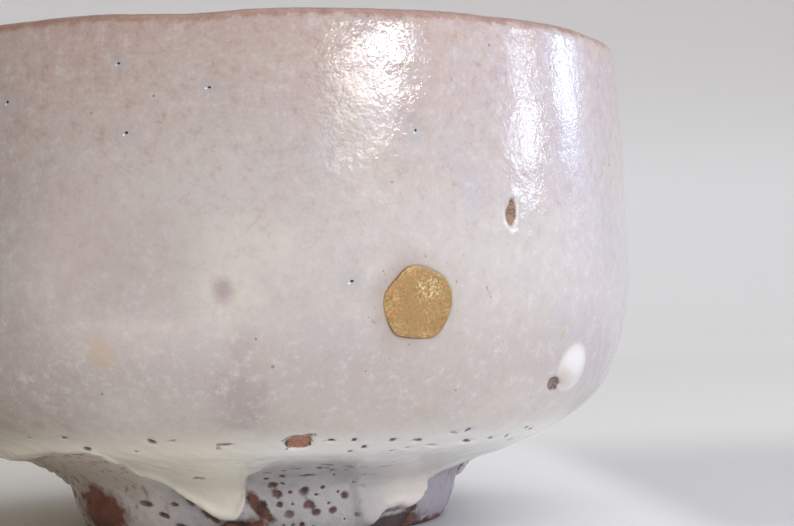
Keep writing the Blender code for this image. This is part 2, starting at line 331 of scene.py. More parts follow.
STRETCHES = [stretch_points(bend, following) for bend, following in zip(OUTLINE, OUTLINE[1:])]
LENGTHS = [sum((b - a).length for a, b in zip(points, points[1:])) for points in STRETCHES]
RIM_INDEX = OUTLINE.index(RIM)
LIP_MIDDLE = sum(LENGTHS[: RIM_INDEX - 1])
FOOT_END = sum(LENGTHS[: OUTLINE.index(FOOT_BOTTOM)])
ROWS = sum(bend.rows for bend in OUTLINE) + 1
print(f"the outline is {sum(LENGTHS):.0f} mm long, {LIP_MIDDLE:.0f} mm of it inside, in {ROWS} rows")

# %% [markdown]
# ## Places on the wall
#
# Whatever sits on the wall, such as a pit or the repair, is placed by its azimuth, an angle round the bowl
# that is 0 at the front and grows to the right, and by its height. A function finds the point of the
# thrown wall there and the three directions that a potter would use: round the bowl, up the wall, and
# straight out of it.

# %% Find a place on the outside
OUTSIDE = [point for points in STRETCHES[RIM_INDEX : OUTLINE.index(FOOT_BOTTOM) + 1] for point in points]


def wall_place(azimuth, height):
    """The point of the thrown wall, and the directions round, up and out, in millimetres."""
    upper, lower = next(
        (first, second) for first, second in zip(OUTSIDE, OUTSIDE[1:]) if second.y <= height < first.y
    )
    travelling = (lower - upper).normalized()
    radius = lower.x + (upper.x - lower.x) * (height - lower.y) / (upper.y - lower.y)
    turn = math.radians(azimuth)
    out_level = Vector((math.sin(turn), -math.cos(turn), 0))
    across = Vector((math.cos(turn), math.sin(turn), 0))
    up = -out_level * travelling.x - Vector((0, 0, travelling.y))
    return out_level * radius + Vector((0, 0, height)), across, up, across.cross(up)


# %% [markdown]
# ## Small marks
#
# A crawled glaze is full of pinholes, nicks and pits. A rule for each of them would make a huge tree.
# Instead, each mark is one loose vertex of a helper mesh, which carries the mark's directions divided by
# its half sizes. Geometry Nodes looks up the nearest mark for each point of the skin and stores where the
# point lies in the mark's own measure: within 1 is inside. The material can then draw all of them, as
# sharply as it likes, from one attribute. Halfway between two marks that attribute swings from one side of
# a mark to the other, and passes through its middle. So a plain distance is stored too, less the reach of
# one face, and the greater of the two is used. The marks that show in front are listed one by one, and the
# rest are scattered with a fixed seed.

# %% Place the marks that show in front
class Mark(NamedTuple):
    """A small dark mark in the skin: an oval, tilted to the right, whose kind says how it is coloured."""

    azimuth: float
    height: float
    width: float
    length: float
    tilt: float = 0
    kind: float = 0


PINHOLE, NICK, SLIP_PIT, FLECK = 0, 1, 2, 3

# Each row is azimuth, height, width, length and, where the mark leans, its tilt.
PLACED_MARKS = (
    (PINHOLE, (
        (-32.7, 72.6, 0.45, 0.5), (-16.5, 77.4, 0.5, 0.4), (-15.5, 66.7, 0.6, 0.5),
        (-4.9, 73.3, 0.6, 0.4, 20), (21.3, 66.2, 0.4, 0.5), (12.1, 43.3, 0.6, 0.45),
        (-36.6, 39.0, 0.4, 0.4),
    )),
    (FLECK, (
        (38.5, 59.7, 0.35, 0.4), (27.0, 74.2, 0.3, 0.4), (16.2, 44.7, 0.35, 0.3), (17.6, 45.0, 0.3, 0.4),
        (16.5, 43.0, 0.4, 0.3), (22.0, 46.8, 0.5, 0.3, 30), (25.0, 45.7, 0.3, 0.3),
        (27.6, 46.8, 0.4, 0.3), (26.4, 42.8, 0.3, 0.4), (26.6, 38.3, 0.4, 0.3), (15.0, 36.9, 0.4, 0.4),
        (14.2, 37.7, 0.3, 0.3), (15.0, 39.1, 0.3, 0.3), (19.9, 33.4, 0.4, 0.3), (17.3, 31.4, 0.3, 0.3),
        (31.2, 41.8, 0.4, 0.3), (31.9, 40.3, 0.3, 0.4), (34.8, 33.2, 0.4, 0.4),
    )),
    (NICK, (
        (-17.6, 19.2, 1.3, 1.9, -20), (-14.2, 19.4, 1.7, 0.6, -12), (-6.2, 18.6, 3.2, 0.8, -4),
        (-7.4, 18.0, 0.8, 1.2, 0), (-32.7, 19.6, 1.8, 0.8, -20), (-40.4, 19.4, 1.4, 0.7, -15),
        (-30.7, 17.9, 1.5, 1.3, -10), (-21.7, 17.5, 1.2, 0.7, -20), (-15.7, 12.1, 2.0, 1.2, 0),
    )),
    (SLIP_PIT, (
        (-25.6, 10.2, 1.8, 0.8, 32), (-20.6, 7.4, 2.4, 0.9, 32), (-15.4, 4.6, 3.6, 1.2, 34),
        (-35.0, 6.6, 2.6, 0.9, 10), (-29.5, 4.6, 2.0, 0.9, 20), (-26.0, 6.6, 1.4, 0.7, 10),
        (-24.5, 2.6, 2.6, 1.1, 20),
    )),
    (NICK, (
        (10.8, 18.9, 1.5, 0.5, 6), (26.2, 18.3, 2.2, 0.8, 12), (30.5, 17.2, 2.4, 0.6, 14),
        (32.5, 19.2, 1.6, 0.7, 12), (37.9, 17.5, 2.4, 0.9, 16), (44.0, 17.6, 2.0, 0.7, 16),
        (54.6, 18.4, 1.6, 0.9, 16),
    )),
    (SLIP_PIT, (
        (1.6, 9.8, 1.5, 1.3), (2.8, 8.2, 1.6, 1.3, 30), (10.1, 8.4, 1.6, 1.5), (11.6, 6.0, 1.7, 1.6, 20),
        (6.0, 4.5, 1.5, 1.3), (13.7, 4.5, 1.4, 1.3, 30), (6.6, 12.8, 1.6, 0.8, 10),
        (10.2, 11.2, 2.4, 0.9), (13.1, 13.6, 2.4, 1.0, 24), (18.9, 12.9, 1.8, 0.9), (25.6, 8.9, 1.2, 1.2),
        (21.6, 7.2, 1.4, 1.2, 10), (18.5, 4.7, 1.3, 1.2), (27.4, 13.1, 2.2, 1.0), (0.4, 12.2, 1.3, 0.7),
    )),
)
marks = [Mark(*numbers, kind=kind) for kind, rows in PLACED_MARKS for numbers in rows]
print(f"{len(marks)} marks are placed by hand")

# %% Scatter the rest with a fixed seed
chance = random.Random(7)


def scatter(count, azimuths, heights, sizes, apart, kind):
    """Adds marks at random places, none nearer than this to another mark."""
    taken = [wall_place(mark.azimuth, mark.height)[0] for mark in marks]
    for _ in range(count):
        azimuth, height = chance.uniform(*azimuths), chance.uniform(*heights)
        width = chance.uniform(*sizes)
        shape = chance.uniform(0.6, 1.1)
        tilt = chance.uniform(-30, 30)
        place = wall_place(azimuth, height)[0]
        if all((place - other).length > apart for other in taken):
            taken.append(place)
            marks.append(Mark(azimuth, height, width, width * shape, tilt, kind))


scatter(26, (12, 54), (16.6, 19.8), (0.5, 1.3), 2.4, NICK)
scatter(70, (0, 27), (1.0, 13.5), (0.3, 1.0), 1.5, SLIP_PIT)
scatter(560, (84, 300), (0.8, 11), (0.5, 1.6), 2.6, SLIP_PIT)
scatter(60, (70, 285), (15, 20), (0.9, 2.6), 5, NICK)
scatter(26, (70, 285), (30, 80), (0.4, 0.7), 12, PINHOLE)
print(f"{len(marks)} marks in all")


# %% Keep the marks in a helper mesh
def marks_mesh():
    """One loose vertex for each mark, with its directions divided by its half sizes."""
    mesh = bpy.data.meshes.new("marks")
    places, rounds, ups = [], [], []
    for mark in marks:
        place, across, up, out = wall_place(mark.azimuth, mark.height)
        turn = Matrix.Rotation(math.radians(-mark.tilt), 3, out)
        places.append(place)
        rounds.append(turn @ across * (2 / mark.width))
        ups.append(turn @ up * (2 / mark.length))
    mesh.from_pydata(places, [], [])
    for name, vectors in (("round", rounds), ("up", ups)):
        attribute = mesh.attributes.new(name, "FLOAT_VECTOR", "POINT")
        attribute.data.foreach_set("vector", [number for vector in vectors for number in vector])
    mesh.attributes.new("kind", "FLOAT", "POINT").data.foreach_set("value", [mark.kind for mark in marks])
    return placed("marks", mesh)


# %% [markdown]
# ## What is known at a point of the skin
#
# The rules need a few facts at each point: where it was when the bowl was thrown, its height and azimuth,
# whether it is outside, and how it lies to the nearest mark. The shape tree works them out and stores them
# on the mesh, and the material reads them back, so both see the same bowl.

# %% Gather the facts
DEGREES = 180 / math.pi


class Skin:
    """The facts at a point, as wires, in millimetres and degrees."""

    def __init__(self, place, along, mark, mark_away, kind):
        self.place = place
        self.x = place.axis("X")
        self.y = place.axis("Y")
        self.height = place.axis("Z")
        self.azimuth = place.maths("ARCTAN2", self.x, 0 - self.y) * DEGREES
        self.outside = smooth(along, LIP_MIDDLE - 1, LIP_MIDDLE + 1)
        self.above_table = smooth(along, FOOT_END + 1, FOOT_END - 1)
        self.mark = mark
        self.mark_away = largest(mark.vectors("LENGTH", mark, output="Value"), mark_away)
        self.kind = kind
        self.edge = glaze_edge(self)

    def azimuth_from(self, middle):
        """Angle from this azimuth, the short way round."""
        return self.azimuth.maths("WRAP", self.azimuth - middle, 180, -180)

    def local(self, azimuth, height, width, length, tilt=0):
        """How far round and up a point lies from a place on the wall, as shares of the half sizes there."""
        centre, across, up, out = wall_place(azimuth, height)
        turn = Matrix.Rotation(math.radians(-tilt), 3, out)
        offset = self.place.vectors("SUBTRACT", self.place, tuple(centre))
        shares = [
            offset.vectors("DOT_PRODUCT", offset, tuple(turn @ way * (2 / size)), output="Value")
            for way, size in ((across, width), (up, length))
        ]
        return shares


def distance(first, second):
    return (first * first + second * second) ** 0.5


# %% [markdown]
# ## The edge of the thick glaze
#
# On the real bowl the thick cream glaze stops on the underside in a rolled edge, and here and there it has
# run down the foot. In front the edge is given as a curve of height over azimuth. At the back,
# where nothing shows it, it hangs level and drops in a few runs, each a flat-bottomed tongue.

# %% Follow the edge round the bowl
EDGE_SCALE = 20
FRONT_LEFT, FRONT_RIGHT = -60, 75
FRONT_EDGE = [
    (-60, 14.6), (-50, 15.4), (-42, 16.2), (-34, 16.6), (-30.4, 16.2), (-29.8, 14.0),
    (-28.8, 12.0), (-25.4, 11.0), (-23, 8.8), (-16.5, 5.5), (-12.3, 4.2), (-9.6, 4.1),
    (-7.4, 5.1), (-5.9, 7.0), (-5.4, 9.5), (-4.2, 12.2), (0, 13.4), (7, 14.4), (15, 14.4),
    (20.5, 12.4), (24, 8.5), (26.5, 3.6), (29, 1.5), (32, 2.4), (35.5, 4.1), (39, 4.4),
    (44, 4.0), (47.5, 4.6), (50, 6.4), (51.4, 9.2), (55, 10.2), (60, 11.0), (66, 12.6),
    (75, 13.2),
]


class Run(NamedTuple):
    """A run of thick glaze down the foot, with its own half width on either side."""

    azimuth: float
    before: float
    after: float
    tip_height: float


BACK_RUNS = (
    Run(azimuth=93, before=12, after=7, tip_height=6.6),
    Run(azimuth=137, before=6, after=9, tip_height=3.4),
    Run(azimuth=183, before=12, after=14, tip_height=7.6),
    Run(azimuth=231, before=9, after=6, tip_height=2.8),
    Run(azimuth=262, before=8, after=14, tip_height=7.2),
)


def glaze_edge(skin):
    """Height of the thick glaze's lower edge."""
    span = FRONT_RIGHT - FRONT_LEFT
    points = [((azimuth - FRONT_LEFT) / span, height / EDGE_SCALE) for azimuth, height in FRONT_EDGE]
    share = (skin.azimuth - FRONT_LEFT) / span
    share = share.node("ShaderNodeClamp", None, {"Value": share})
    edge = share.node("ShaderNodeFloatCurve", {"curve": points}, {"Value": share}) * EDGE_SCALE
    for run in BACK_RUNS:
        away = skin.azimuth_from(run.azimuth)
        across = largest(away / run.after, away / -run.before)
        edge = edge + (run.tip_height - edge) * across.maths("EXPONENT", across**4 * -1)
    return edge + grain(skin.place, 4, seed=3, detail=2) * 1.1


# %% [markdown]
# ## Out of true
#
# No hand-thrown bowl is a true turning. Its mouth is a little oval, its rim dips where a finger pressed
# it, its foot was trimmed off centre and its underside tips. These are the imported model's own amounts.

# %% Pull the turning out of round
OVAL = 0.3
OVAL_AZIMUTH = 42.0
FOOT_SHIFT = 1.0
UNDERSIDE_TIP = 0.9
FOOT_FADE = 22.0
RIM_FADE = 30.0


class Dip(NamedTuple):
    """A soft dip of the rim."""

    azimuth: float
    half_width: float
    depth: float


RIM_DIPS = (
    Dip(azimuth=-8, half_width=8, depth=0.62),
    Dip(azimuth=34, half_width=2.5, depth=0.18),
    Dip(azimuth=62, half_width=6, depth=0.40),
    Dip(azimuth=112, half_width=20, depth=0.55),
    Dip(azimuth=172, half_width=9, depth=0.45),
    Dip(azimuth=221, half_width=24, depth=0.70),
    Dip(azimuth=281, half_width=10, depth=0.35),
)


def oval_offset(skin):
    turn = (skin.azimuth - OVAL_AZIMUTH) * (2 / DEGREES)
    return turn.maths("COSINE", turn) * OVAL * (skin.height / BOWL_HEIGHT)


def rim_offset(skin):
    dips = [bell(skin.azimuth_from(dip.azimuth), 0, dip.half_width) * -dip.depth for dip in RIM_DIPS]
    return sum(dips) * smooth(skin.height, BOWL_HEIGHT - RIM_FADE, BOWL_HEIGHT)


def foot_offset(skin):
    return smooth(skin.height, FOOT_HEIGHT + FOOT_FADE, FOOT_HEIGHT) * FOOT_SHIFT


def underside_offset(skin):
    rising = smooth(skin.height, FOOT_HEIGHT, UNDERSIDE_HEIGHT)
    fading = smooth(skin.height, UNDERSIDE_HEIGHT + FOOT_FADE, UNDERSIDE_HEIGHT)
    turn = skin.azimuth / DEGREES
    return turn.maths("SINE", turn) * rising * fading * skin.outside * -UNDERSIDE_TIP


# %% [markdown]
# ## The large marks
#
# Six marks are big enough to name: the socket of the gold repair, the pit above it, the chip on the
# underside, the torn pit, the bead of glaze beside it, and a soft dimple. Each rule gives a distance that
# is 1 on the mark's edge.

# %% Name the large marks
GOLD_AZIMUTH = 20.9
GOLD_CENTRE_HEIGHT = 39.6
GOLD_WIDTH = 12.1
GOLD_HEIGHT = 12.0
GOLD_BED = 1.4
GOLD_PROUD = 0.3


class Oval(NamedTuple):
    """An oval on the wall: its middle, its width round the bowl, its length up the wall, and its tilt."""

    azimuth: float
    height: float
    width: float
    length: float
    tilt: float = 0


REPAIR = Oval(GOLD_AZIMUTH, GOLD_CENTRE_HEIGHT, GOLD_WIDTH, GOLD_HEIGHT)
SIDE_PIT = Oval(35.9, 53.4, 1.9, 4.4, 6)
CHIP = Oval(5.6, 18.8, 4.3, 4.8)
TEAR_PIT = Oval(48.8, 25.7, 4.3, 2.8, 24)
TEAR_BEAD = Oval(52.2, 28.2, 9.2, 7.8, 30)
DIMPLE = Oval(-4.0, 42.5, 4.2, 5.0)


class Flat(NamedTuple):
    """A flat of the repair's outline: the way it faces, and its distance as a share of the round part's."""

    facing: float
    distance: float


GOLD_FLATS = (
    Flat(facing=-95, distance=0.89),
    Flat(facing=-156, distance=0.95),
    Flat(facing=-26, distance=0.97),
    Flat(facing=138, distance=0.90),
    Flat(facing=70, distance=0.95),
)


def repair_distance(skin):
    """1 on the repair's edge: a circle dressed to five flats."""
    across, up = skin.local(*REPAIR)
    edge = distance(across, up)
    for flat in GOLD_FLATS:
        way = heading_vector(flat.facing) / flat.distance
        edge = edge.maths("SMOOTH_MAX", edge, across * way.x + up * way.y, 0.12)
    return edge


def side_pit_distance(skin):
    return distance(*skin.local(*SIDE_PIT))


class Side(NamedTuple):
    """A straight side of the chip: the way it faces, and its distance as a share."""

    way: tuple
    distance: float


CHIP_SIDES = (
    Side(way=(-0.13, 0.99), distance=0.82),
    Side(way=(-0.71, 0.71), distance=0.92),
    Side(way=(-0.97, -0.23), distance=0.96),
    Side(way=(0.09, -1.00), distance=0.93),
    Side(way=(1.00, 0.00), distance=0.95),
)


def chip_distance(skin):
    """A torn scrap of glaze, pointed on the left, with five straight sides."""
    across, up = skin.local(*CHIP)
    sides = [(across * flat.way[0] + up * flat.way[1]) / flat.distance for flat in CHIP_SIDES]
    return largest(*sides) + grain(skin.place, 0.9, seed=11, detail=2) * 0.5


def tear_pit_distance(skin):
    return distance(*skin.local(*TEAR_PIT)) + grain(skin.place, 1.1, seed=12, detail=2) * 0.7


def tear_bead_distance(skin):
    return distance(*skin.local(*TEAR_BEAD))


def dimple_distance(skin):
    return distance(*skin.local(*DIMPLE))


# %% [markdown]
# ## Relief
#
# This is what the fire and the hand left on the true turning, as one sum of heights. It has throwing
# rings, uneven glaze, the rolled edge with its runs, the pitted slip of the foot, and the marks. It never
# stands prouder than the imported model, because the whole skin is first taken in by about a tenth of a
# millimetre.

# %% Add up the relief
SKIN_INSET = 0.12
GLAZE_LIP = 0.75
GLAZE_BEAD = 0.45
RING_PITCH = 7.4
INNER_RING_PITCH = 5.6
SOCKET_DEPTH = GOLD_BED + 0.3


def throwing_rings(skin):
    """Faint level rings outside, and a clearer spiral left by the fingers inside."""
    outer = (skin.height / RING_PITCH + grain(skin.place, 22, seed=1) * 1.3) * math.tau
    inner = (skin.height / INNER_RING_PITCH + skin.azimuth / 360 + grain(skin.place, 26, seed=2)) * math.tau
    outer_rings = outer.maths("SINE", outer) * 0.02
    inner_rings = inner.maths("SINE", inner) * 0.20
    fading = smooth(skin.height, BOWL_HEIGHT - 2, BOWL_HEIGHT - 9) * smooth(skin.height, 15, 22)
    return (inner_rings + (outer_rings - inner_rings) * skin.outside) * fading


def feathered_share(skin):
    """1 in front of the slip between the two runs, where the glaze thins out without a rolled edge."""
    return smooth(skin.azimuth, -4, 2) * smooth(skin.azimuth, 32, 27)


def cover(skin, slope=0.9):
    """1 where the thick glaze lies on the outside, 0 below its edge."""
    half = slope / 2 + feathered_share(skin) * 2.2
    return smooth(skin.height - skin.edge, half * -1, half)


def glaze_thickness(skin):
    """The rolled edge of the thick glaze, with a bead along it, thinning out up the haunch."""
    thinning = smooth(skin.height, HAUNCH_TOP.height, 14)
    bead = bell(skin.height - skin.edge, 1.0, 0.9)
    left_roll = 1 + bell(skin.azimuth, -62, 16) * 1.6
    feathered = 1 - feathered_share(skin) * 0.95
    step = cover(skin) * GLAZE_LIP + bead * left_roll * GLAZE_BEAD * feathered
    return step * thinning * skin.outside


def small_marks(skin):
    """Pits at the small marks."""
    deep = smooth(skin.kind, 2.6, 2.4)
    return smooth(skin.mark_away, 1.25, 0.55) * deep * -0.35 * skin.outside


def large_marks(skin):
    repair = repair_distance(skin)
    pit, chip = side_pit_distance(skin), chip_distance(skin)
    tear, bead, dimple = tear_pit_distance(skin), tear_bead_distance(skin), dimple_distance(skin)
    pits = smooth(pit, 1.15, 0.7) * 1.0 + smooth(chip, 1.1, 0.8) * 0.6 + smooth(tear, 1.15, 0.6) * 0.9
    soft = smooth(dimple, 1.6, 0.1) * 0.3 + smooth(repair, 0.95, 0.82) * SOCKET_DEPTH
    rims = bell(pit, 1.4, 0.35) * 0.12 + bell(repair, 1.2, 0.25) * 0.03
    proud = smooth(bead, 1.1, 0.0) * 1.0
    return (rims + proud - pits - soft) * skin.outside


def rim_relief(skin):
    """A rolled, slightly lumpy lip, with a small ledge under it."""
    near = smooth(skin.height, BOWL_HEIGHT - 7, BOWL_HEIGHT - 2)
    ledge = bell(skin.height + grain(skin.place, 6, seed=6) * 1.2, BOWL_HEIGHT - 3.1, 0.55)
    return near * (grain(skin.place, 4.5, seed=5, detail=2) * 0.24 - 0.06) - ledge * 0.03 * skin.outside


def relief(skin):
    """How far the finished skin stands out from the thrown one, square to it, in millimetres."""
    uneven = grain(skin.place, 26, seed=21, detail=1) * 0.20
    uneven = uneven + grain(skin.place, 5, seed=22, detail=2) * 0.16
    calm = smooth(repair_distance(skin), 1.2, 2.4)
    bare = (1 - cover(skin)) * skin.outside
    rough = grain(skin.place, 1.5, seed=23, detail=2) * 0.30 * bare
    under = smooth(skin.height, 23, 17) * skin.outside
    crawled = grain(skin.place, 2.6, seed=24, detail=2) * 0.20 * under
    body = (uneven * calm + throwing_rings(skin) + rim_relief(skin) + rough + crawled) * skin.above_table
    added = glaze_thickness(skin) + small_marks(skin) + large_marks(skin)
    return body + added - SKIN_INSET * skin.above_table


# %% [markdown]
# ## The skin, turned by Geometry Nodes
#
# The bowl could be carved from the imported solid, but its triangles are far too coarse for pinholes. It
# could also be sculpted, but its shape follows rules. So Geometry Nodes wraps a flat grid round the axis:
# each row of the grid is a length along the outline, each column an azimuth, and both sets are closer
# together where the fine detail is. The tree then moves each point by the rules above, closes the seam and
# the two poles, and sets the finish.

# %% Build the tree that turns the skin
COLUMNS = 352
FRONT_SHARE = 0.34
SEAM = 0.001
WALL_FACE_REACH = 0.5
FOOT_FACE_REACH = 0.24


def new_tree(name, inputs):
    """An empty tree with these inputs and one geometry output, and its group input."""
    tree = bpy.data.node_groups.new(name, "GeometryNodeTree")
    tree.interface.new_socket("Geometry", in_out="OUTPUT", socket_type="NodeSocketGeometry")
    for label, kind in inputs.items():
        tree.interface.new_socket(label, in_out="INPUT", socket_type=kind)
    return tree, tree.nodes.new("NodeGroupInput")


def row_length(row):
    """Length along the outline at a row of the grid."""
    length, first = 0, 0
    for bend, stretch in zip(OUTLINE, LENGTHS):
        share = (row - first) / bend.rows
        length = share.node("ShaderNodeClamp", None, {"Value": share}) * stretch + length
        first += bend.rows
    return length


def stored(start, name, kind="FLOAT_VECTOR"):
    return start.node("GeometryNodeInputNamedAttribute", {"data_type": kind}, {"Name": name}, "Attribute")


def store(shape, name, value, kind="FLOAT_VECTOR"):
    settings = {"data_type": kind, "domain": "POINT"}
    sockets = {"Geometry": shape, "Name": name, "Value": value}
    return shape.node("GeometryNodeStoreNamedAttribute", settings, sockets)


def nearest_mark(place, marks_shape):
    """Where the point lies in the measure of the nearest mark, how far that is, and the mark's kind."""
    sockets = {"Geometry": marks_shape, "Sample Position": place}
    nearest = place.node("GeometryNodeSampleNearest", None, sockets)

    def looked_up(value, kind="FLOAT_VECTOR"):
        sockets = {"Geometry": marks_shape, "Value": value, "Index": nearest}
        return place.node("GeometryNodeSampleIndex", {"data_type": kind}, sockets)

    centre = looked_up(place.node("GeometryNodeInputPosition"))
    offset = place.vectors("SUBTRACT", place, centre)
    ways = [looked_up(stored(place, name)) for name in ("round", "up")]
    shares = [offset.vectors("DOT_PRODUCT", offset, way, output="Value") for way in ways]
    measure = place.node("ShaderNodeCombineXYZ", None, {"X": shares[0], "Y": shares[1]})
    height = place.axis("Z")
    face_reach = smooth(height, 20, 28) * (WALL_FACE_REACH - FOOT_FACE_REACH) + FOOT_FACE_REACH
    one_face = ways[0].vectors("LENGTH", ways[0], output="Value") * face_reach
    return measure, distance(*shares) - one_face, looked_up(stored(place, "kind", "FLOAT"), "FLOAT")


def skin_tree():
    """The tree that turns the outline round the axis and works the relief into it."""
    inputs = {
        "Outline": "NodeSocketObject",
        "Marks": "NodeSocketObject",
        "Columns": "NodeSocketInt",
        "Front share": "NodeSocketFloat",
        "Seam": "NodeSocketFloat",
        "Finish": "NodeSocketMaterial",
    }
    tree, given = new_tree("turned_skin", inputs)
    wires = {label: Wire(tree, find(given.outputs, label)) for label in inputs}
    start = Wire(tree)
    outline = start.node("GeometryNodeObjectInfo", None, {"Object": wires["Outline"]}, "Geometry")
    marks_shape = start.node("GeometryNodeObjectInfo", None, {"Object": wires["Marks"]}, "Geometry")
    sockets = {"Size X": 2, "Size Y": ROWS - 1, "Vertices X": wires["Columns"] + 1, "Vertices Y": ROWS}
    shape = start.node("GeometryNodeMeshGrid", None, sockets, "Mesh")

    position = start.node("GeometryNodeInputPosition")
    across = position.axis("X")
    row = position.axis("Y") + (ROWS - 1) / 2
    front = wires["Front share"]
    azimuth = (across * front + across**3 * (1 - front)) * math.pi
    along = row_length(row)
    sockets = {"Curves": outline, "Length": along}
    sampled = outline.node("GeometryNodeSampleCurve", {"mode": "LENGTH"}, sockets)
    sample = sampled.socket.node
    point, tangent = (Wire(tree, find(sample.outputs, name)) for name in ("Position", "Tangent"))
    radius, height = (point.axis(name) for name in "XZ")
    way_out, way_up = (tangent.axis(name) for name in "XZ")
    sine, cosine = azimuth.maths("SINE", azimuth), azimuth.maths("COSINE", azimuth)

    def turned(reach, rise, shift=0):
        sockets = {"X": reach * sine + shift, "Y": reach * cosine * -1, "Z": rise}
        return start.node("ShaderNodeCombineXYZ", None, sockets)

    place = turned(radius, height)
    measure, away, kind = nearest_mark(place, marks_shape)
    skin = Skin(place, along, measure, away, kind)
    proud = relief(skin)
    reach = radius + oval_offset(skin) - way_up * proud
    rise = largest(height + rim_offset(skin) + underside_offset(skin) + way_out * proud, 0)
    final = turned(reach, rise, foot_offset(skin))
    final = final.vectors("SCALE", final)
    final.socket.node.inputs["Scale"].default_value = MM

    shape = store(shape, "thrown", place)
    shape = store(shape, "along", along, "FLOAT")
    shape = store(shape, "mark", measure)
    shape = store(shape, "mark_away", away, "FLOAT")
    shape = store(shape, "mark_kind", kind, "FLOAT")
    shape = shape.node("GeometryNodeSetPosition", None, {"Geometry": shape, "Position": final})
    shape = shape.node("GeometryNodeMergeByDistance", None, {"Geometry": shape, "Distance": wires["Seam"]})
    shape = shape.node("GeometryNodeSetShadeSmooth", None, {0: shape})
    shape = shape.node("GeometryNodeRealizeInstances", None, {"Geometry": shape})
    shape = shape.node("GeometryNodeSetMaterial", None, {"Geometry": shape, "Material": wires["Finish"]})
    end = tree.nodes.new("NodeGroupOutput")
    tree.links.new(shape.socket, end.inputs["Geometry"])
    return tree


# %% Run a tree and keep its result as a plain mesh
def grow(name, tree, values):
    """Sets a tree's inputs, evaluates it once and gives its result as a plain object without modifiers."""
    host = placed(name + "_host", bpy.data.meshes.new(name + "_host"))
    modifier = host.modifiers.new("Grow", "NODES")
    modifier.node_group = tree
    for item in tree.interface.items_tree:
        if item.in_out == "INPUT":
            modifier[item.identifier] = values[item.name]
    graph = bpy.context.evaluated_depsgraph_get()
    mesh = bpy.data.meshes.new_from_object(
        host.evaluated_get(graph), preserve_all_data_layers=True, depsgraph=graph
    )
    mesh.name = name
    bpy.data.objects.remove(host)
    return placed(name, mesh)


def clear_material(name):
    """A new material with only its Principled shader and output."""
    made = bpy.data.materials.new(name)
    made.use_nodes = True
    return made


glaze = clear_material("milky_glaze")
gold_powder = clear_material("gold_powder")

# %% Turn the bowl
outline_object, marks_object = outline_curve(), marks_mesh()
bowl = grow(
    "tea_bowl",
    skin_tree(),
    {
        "Outline": outline_object,
        "Marks": marks_object,
        "Columns": COLUMNS,
        "Front share": FRONT_SHARE,
        "Seam": SEAM * MM,
        "Finish": glaze,
    },
)
for helper in (outline_object, marks_object):
    bpy.data.objects.remove(helper)
bowl.data.calc_loop_triangles()
print(f"the bowl has {len(bowl.data.loop_triangles)} triangles")

# %% [markdown]
# ## The gold repair
#
# A lacquer filling is built up in the loss, rubbed flush and dusted with gold powder while it is tacky. So
# it is a thin pebble with a grainy top, slightly proud, whose edge laps down onto the glaze. A sphere
# flattened to the repair's outline gives that shape, and mesh code keeps it exact.

# %% Model the gold repair
GOLD_SEGMENTS = 120
GOLD_RINGS = 44
GOLD_SHARPNESS = 16
GOLD_LAP = 0.15


def repair_outline(angle):
    """How far the repair's edge lies from its middle, as a share of the round part's."""
    flats = sum(
        (max(math.cos(angle - math.radians(flat.facing)), 0) / flat.distance) ** GOLD_SHARPNESS
        for flat in GOLD_FLATS
    )
    return (1 + flats) ** (-1 / GOLD_SHARPNESS)


def gold_repair():
    """A flattened sphere: its lower half fills the socket, and its upper half is the powdery top."""
    mesh = bpy.data.meshes.new("gold_repair_skin")
    shape = bmesh.new()
    bmesh.ops.create_uvsphere(shape, u_segments=GOLD_SEGMENTS, v_segments=GOLD_RINGS, radius=1)
    centre, across, up, out = wall_place(GOLD_AZIMUTH, GOLD_CENTRE_HEIGHT)
    oval_turn = math.radians(2 * (GOLD_AZIMUTH - OVAL_AZIMUTH))
    centre += out * (OVAL * math.cos(oval_turn) * GOLD_CENTRE_HEIGHT / BOWL_HEIGHT)
    for vertex in shape.verts:
        x, y, z = vertex.co
        angle, level = math.atan2(y, x), math.hypot(x, y)
        wander = 1 + 0.012 * clouds.noise(Vector((math.cos(angle), math.sin(angle), 0)) * 4)
        reach = math.sqrt(level) * repair_outline(angle) * wander
        round_by = math.cos(angle) * reach * GOLD_WIDTH / 2
        up_by = math.sin(angle) * reach * GOLD_HEIGHT / 2
        if z > 0:
            dust = 0.05 * clouds.noise(Vector((round_by, up_by, 0)) * 0.5)
            dust += 0.03 * clouds.noise(Vector((round_by, up_by, 5)) * 2.0)
            through = z**0.5 * (GOLD_PROUD - GOLD_LAP) + dust * level**0.2 * z**0.25
        else:
            through = -((-z) ** 0.5) * GOLD_BED
        lapped = -GOLD_LAP - round_by**2 / (2 * BELLY_RADIUS)
        vertex.co = (centre + across * round_by + up * up_by + out * (through + lapped)) * MM
    bmesh.ops.recalc_face_normals(shape, faces=shape.faces)
    shape.to_mesh(mesh)
    shape.free()
    mesh.shade_smooth()
    mesh.materials.append(gold_powder)
    return placed("gold_filling", mesh)


gold = gold_repair()
print(f"the gold repair has {len(gold.data.polygons)} faces")

# %% Hand the pieces to the frame
for piece, node, finish in ((bowl, "bowl", "glaze"), (gold, "gold_repair", "gold")):
    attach(piece, "root")
    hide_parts(node)

# %% [markdown]
# ## The glaze and the clay
#
# The glaze is a thick feldspar white. It is pink and thin near the lip, milky on the wall and cream where
# it lies thick, and it breaks to reddish clay in the pits and on the foot. Its gloss is broken by a fine
# orange-peel skin. All of that could be painted, but a painted picture stops at its own resolution. Here
# each part of the finish is a rule over the stored facts, so colour, gloss and relief agree at every
# scale.

# %% Mix colours
def paint(red, green, blue):
    """A colour as a screen shows it, 0 to 255, in the linear values that a shader takes."""
    shares = [value / 255 for value in (red, green, blue)]
    return tuple(x / 12.92 if x <= 0.04045 else ((x + 0.055) / 1.055) ** 2.4 for x in shares)


